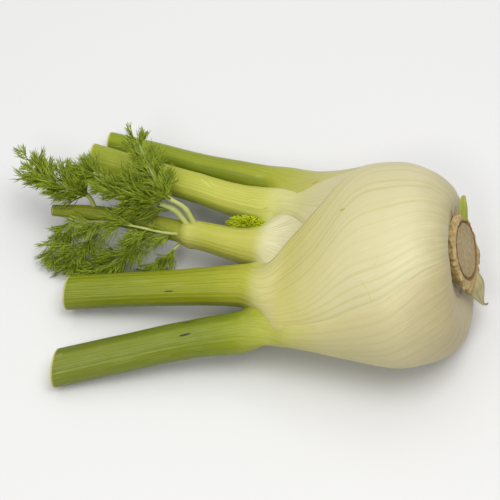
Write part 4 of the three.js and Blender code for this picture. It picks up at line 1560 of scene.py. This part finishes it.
class FennelStageSettings(bpy.types.PropertyGroup):
    """The floor and the lights."""

    floor_tone: bpy.props.FloatProperty(
        name="Floor Tone",
        description="Grey value of the floor",
        default=0.66,
        **FACTOR,
    )
    key_power: bpy.props.FloatProperty(
        name="Key Light",
        description="Power of the large soft key light",
        default=5.4,
        min=0.0,
        unit="POWER",
    )
    view_power: bpy.props.FloatProperty(
        name="View Light",
        description="Power of the small light near the camera",
        default=3.1,
        min=0.0,
        unit="POWER",
    )
    sky_power: bpy.props.FloatProperty(
        name="Sky Panel",
        description="Power of the wide panel overhead",
        default=21.0,
        min=0.0,
        unit="POWER",
    )
    world_tone: bpy.props.FloatProperty(
        name="Surround",
        description="Strength of the even light from all round",
        default=0.44,
        min=0.0,
    )


class FENNEL_OT_leaf_bases(bpy.types.Operator):
    """Build the four outer leaf bases and their stalks"""

    bl_idname = "fennel.leaf_bases"
    bl_label = "Leaf Bases"

    def execute(self, context):
        settings = context.scene.fennel_leaf
        cut = bpy.data.materials.get("cut stalk end") or cut_material()
        v, side = leaf_outline(*OUTLINE_POINTS)
        for seed, leaf in enumerate(LEAVES, LEAF_SEED):
            station, q = leaf_rings(leaf["stalk"][-1][0], *LEAF_RINGS)
            grid = leaf_surface(leaf, station, q, v, side, settings, seed)
            # Painted shade for the inside of the stalk's channel, kept as the inner attribute.
            inner = side * smooth(*CHANNEL_PAINTED_SHADE, q)
            materials = [leaf_material(leaf, settings), cut]
            made = closed_loft(leaf["name"] + "_skin", grid, spread(v, q / UV_Q), materials, inner)
            stand_for(made, leaf["name"])
        return {"FINISHED"}


class FENNEL_OT_heart(bpy.types.Operator):
    """Build the heart of the bulb with its thin stalk"""

    bl_idname = "fennel.heart"
    bl_label = "Heart and Thin Stalk"

    def execute(self, context):
        settings = context.scene.fennel_leaf
        cut = bpy.data.materials.get("cut stalk end") or cut_material()
        station, q = leaf_rings(HEART["stalk"][-1][0], *HEART_RINGS)
        share = np.arange(HEART_AROUND)[None, :] / HEART_AROUND
        grid = heart_surface(station, q, share * 2 * math.pi, HEART_SEED)
        uv = spread(1 - 2 * np.abs(2 * share - 1), q / UV_Q)
        materials = [leaf_material(HEART, settings), cut]
        made = closed_loft("leaf_heart_skin", grid, uv, materials, np.zeros(grid.shape[:2]))
        stand_for(made, HEART["name"])
        return {"FINISHED"}


class FENNEL_OT_crown(bpy.types.Operator):
    """Build the trimmed crown"""

    bl_idname = "fennel.crown"
    bl_label = "Crown"

    def execute(self, context):
        around, steps = CROWN_AROUND, CROWN_STEPS
        length = np.concatenate([[0], np.cumsum(np.hypot(*np.diff(CROWN[:, :2], axis=0).T))])
        y = np.linspace(0, 1, steps)
        row = through(CROWN, np.interp(y * length[-1], length, np.arange(len(CROWN))))
        at, radius, share = (row[:, k][:, None] for k in range(3))
        angle = 2 * math.pi * np.arange(around)[None, :] / around
        y = y[:, None]
        skirt = SKIRT_REACH * share * np.exp(-(((angle - SKIRT_AT) / SKIRT_WIDE) ** 2))
        rough = ripple(3, 14, (angle, 9), (y * 24, 3)) + 0.6 * ripple(4, 14, (angle, 26), (y * 60, 3))
        flaky, ragged = (smooth(*start, y) * smooth(*end, y) for start, end in (FLAKY_SIDE, RAGGED_RIM))
        torn = 0.75 * ripple(5, 9, (angle, 16), (y * 3, 1)) + 0.5 * ripple(9, 9, (angle, 44), (y * 5, 1))
        reach = radius + skirt + ROUGH_HEIGHT * flaky * rough + ragged * torn
        lip = -LIP_HEIGHT * ragged * ripple(8, 8, (angle, 13), (y * 2, 1))
        dish = DISH_HEIGHT * smooth(*DISH_FROM, y) * ripple(6, 10, (angle, 5), (y * 14, 3))
        groove = GROOVE_DEPTH * np.exp(-(((y - RING_AT) / GROOVE_WIDTH) ** 2))
        s = -reach * np.cos(angle)
        n = reach * np.sin(angle)
        grid = place(at + lip + dish + groove + CROWN_TILT * n, s, n)
        uv = spread(angle / (2 * math.pi), y)
        materials = [crown_material(context.scene.fennel_leaf)]
        ring = np.arange(around)
        nxt = (ring + 1) % around
        points = np.concatenate([grid.reshape(-1, 3), [grid[0].mean(0), grid[-1].mean(0)]])
        last = (steps - 1) * around
        fans = np.concatenate(
            [
                np.stack([nxt, ring, np.full(around, len(points) - 2)], 1),
                np.stack([last + ring, last + nxt, np.full(around, len(points) - 1)], 1),
            ]
        )
        uv = np.concatenate([uv.reshape(-1, 2), [(0.5, 0.0), (0.5, 1.0)]])
        made = mesh_object("crown_cut", points, [grid_faces(steps, around), fans], uv, materials)
        stand_for(made, "crown")
        return {"FINISHED"}


class FENNEL_OT_scales(bpy.types.Operator):
    """Build the dry flap and the green sliver on the crown's edge"""

    bl_idname = "fennel.scales"
    bl_label = "Scales"

    def execute(self, context):
        dry = scale_material("dry scale", (0.66, 0.61, 0.44), (0.57, 0.55, 0.42), 40.0)
        green = scale_material("green scale", (0.50, 0.53, 0.20), (0.60, 0.62, 0.28), 60.0)
        for name, grid, material, slot, curl in (
            ("scale_flap", FLAP, dry, "dry_scale", 0.5),
            ("scale_sliver", SLIVER, green, "green_scale", 0.15),
        ):
            points, quads, uv = sheet_parts(grid, *SCALE_POINTS, SCALE_WALL, curl, SCALE_SEED)
            made = mesh_object(name + "_sheet", points * MM, [quads], uv, [material])
            stand_for(made, name)
        return {"FINISHED"}


class FENNEL_OT_fronds(bpy.types.Operator):
    """Build the feathery fronds"""

    bl_idname = "fennel.fronds"
    bl_label = "Fronds"

    def execute(self, context):
        settings = context.scene.fennel_frond
        rib = rib_material()
        threads = thread_material("frond threads", settings.dark, settings.light, (0.58, 0.64, 0.28))
        for k, frond in enumerate(FRONDS):
            pieces, kinds = frond_parts(frond, FIRST_SEED + k, settings.thread_radius)
            made = joined(frond["name"] + "_feather", pieces, [rib, threads], kinds)
            stand_for(made, frond["name"])
        return {"FINISHED"}


class FENNEL_OT_bud(bpy.types.Operator):
    """Build the bud of curled threads between two stalks"""

    bl_idname = "fennel.bud"
    bl_label = "Bud"

    def execute(self, context):
        draw = np.random.default_rng(BUD_SEED)
        count = BUD["threads"]
        reach = np.array(BUD["reach"], float)
        step = np.arange(count)
        height = 1 - 2 * (step + 0.5) / count
        level = np.sqrt(1 - height**2)
        turn = step * math.pi * (3 - math.sqrt(5))
        way = np.stack([level * np.cos(turn), level * np.sin(turn), height], 1)
        size = draw.uniform(*BUD_LENGTHS, (count, 1))
        middle = np.array(BUD["at"], float)
        root = middle + way * reach * BUD_ROOT
        tip = middle + way * reach * size + draw.normal(0, BUD_TIP_SPREAD, (count, 3))
        bow = draw.normal(0, BUD_BOW, (count, 3))
        half, core_radius = BUD_CORE
        core = middle + np.array([[-half, 0, 0]]), middle + np.array([[half, 0, 0]])
        radius = draw.uniform(*BUD_THICKNESS, count)
        pieces = [
            thread_tubes(*core, np.zeros((1, 3)), np.array([core_radius]), sides=12, steps=12, tail=0.9),
            thread_tubes(root, tip, bow, radius, sides=4, steps=4, tail=0.55),
        ]
        shades = (0.52, 0.58, 0.03), (0.78, 0.82, 0.08), (0.60, 0.65, 0.05)
        made = joined(BUD["name"] + "_curls", pieces, [thread_material("bud threads", *shades)], [0, 0])
        stand_for(made, BUD["name"])
        return {"FINISHED"}


def area_light(name, place_at, aim, size, power, tint):
    """A square area light that looks from its place to its aim, in metres and watts."""
    data = bpy.data.lights.new(name, "AREA")
    data.energy, data.size, data.color = power, size, tint
    made = bpy.data.objects.new(name, data)
    made.location = place_at
    made.rotation_euler = (Vector(aim) - Vector(place_at)).to_track_quat("-Z", "Y").to_euler()
    bpy.context.scene.collection.objects.link(made)


class FENNEL_OT_stage(bpy.types.Operator):
    """Build the pale floor, the soft lights and the camera"""

    bl_idname = "fennel.stage"
    bl_label = "Stage"

    def execute(self, context):
        settings = context.scene.fennel_stage
        scene = context.scene
        corners = np.array([[-1, -1, 0], [1, -1, 0], [1, 1, 0], [-1, 1, 0]]) * FLOOR_HALF
        face = [np.array([[0, 1, 2, 3]])]
        floor = mesh_object("floor", corners, face, corners[:, :2], [floor_material(settings)])
        world = bpy.data.worlds.new("surround")
        scene.world = world
        world.use_nodes = True
        background = world.node_tree.nodes["Background"]
        background.inputs["Color"].default_value = (1.0, 1.0, 1.0, 1.0)
        background.inputs["Strength"].default_value = settings.world_tone
        for name, place_at, aim, size, power, tint in LIGHTS:
            area_light(name, place_at, aim, size, getattr(settings, power), tint)
        data = bpy.data.cameras.new("camera")
        data.sensor_width = SENSOR_MM
        data.lens = VIEW_DISTANCE / VIEW_MM_PER_PIXEL / VIEW_PIXELS * SENSOR_MM
        data.clip_start, data.clip_end = 0.05, 20.0
        camera = bpy.data.objects.new("camera", data)
        level = math.cos(VIEW_ELEVATION)
        sideways, backwards = math.sin(VIEW_AZIMUTH) * level, math.cos(VIEW_AZIMUTH) * level
        back = Vector((sideways, -backwards, math.sin(VIEW_ELEVATION)))
        camera.location = Vector(VIEW_TARGET) * MM + back * VIEW_DISTANCE * MM
        camera.rotation_euler = (-back).to_track_quat("-Z", "Y").to_euler()
        scene.collection.objects.link(camera)
        scene.camera = camera
        scene.view_settings.view_transform = "Standard"
        return {"FINISHED"}


SETTINGS = {
    "fennel_leaf": FennelLeafSettings,
    "fennel_frond": FennelFrondSettings,
    "fennel_stage": FennelStageSettings,
}

OPERATORS = [
    FENNEL_OT_leaf_bases,
    FENNEL_OT_heart,
    FENNEL_OT_crown,
    FENNEL_OT_scales,
    FENNEL_OT_fronds,
    FENNEL_OT_bud,
    FENNEL_OT_stage,
]


class FENNEL_PT_panel(bpy.types.Panel):
    """Lists the pieces of the fennel bulb and their sizes and colours"""

    bl_idname = "FENNEL_PT_panel"
    bl_label = "Fennel Bulb"
    bl_space_type = "VIEW_3D"
    bl_region_type = "UI"
    bl_category = "Fennel"

    def draw(self, context):
        for operator in OPERATORS:
            self.layout.operator(operator.bl_idname)
        for name in SETTINGS:
            held = getattr(context.scene, name)
            box = self.layout.box()
            for key in held.__annotations__:
                box.prop(held, key)


def register():
    for kind in (*SETTINGS.values(), *OPERATORS, FENNEL_PT_panel):
        bpy.utils.register_class(kind)
    for name, kind in SETTINGS.items():
        setattr(bpy.types.Scene, name, bpy.props.PointerProperty(type=kind))


def unregister():
    for name in SETTINGS:
        delattr(bpy.types.Scene, name)
    for kind in (FENNEL_PT_panel, *reversed(OPERATORS), *SETTINGS.values()):
        bpy.utils.unregister_class(kind)


def main():
    register()
    bpy.ops.fennel.leaf_bases()
    bpy.ops.fennel.heart()
    bpy.ops.fennel.crown()
    bpy.ops.fennel.scales()
    bpy.ops.fennel.fronds()
    bpy.ops.fennel.bud()
    bpy.ops.fennel.stage()


if __name__ == "__main__":
    main()
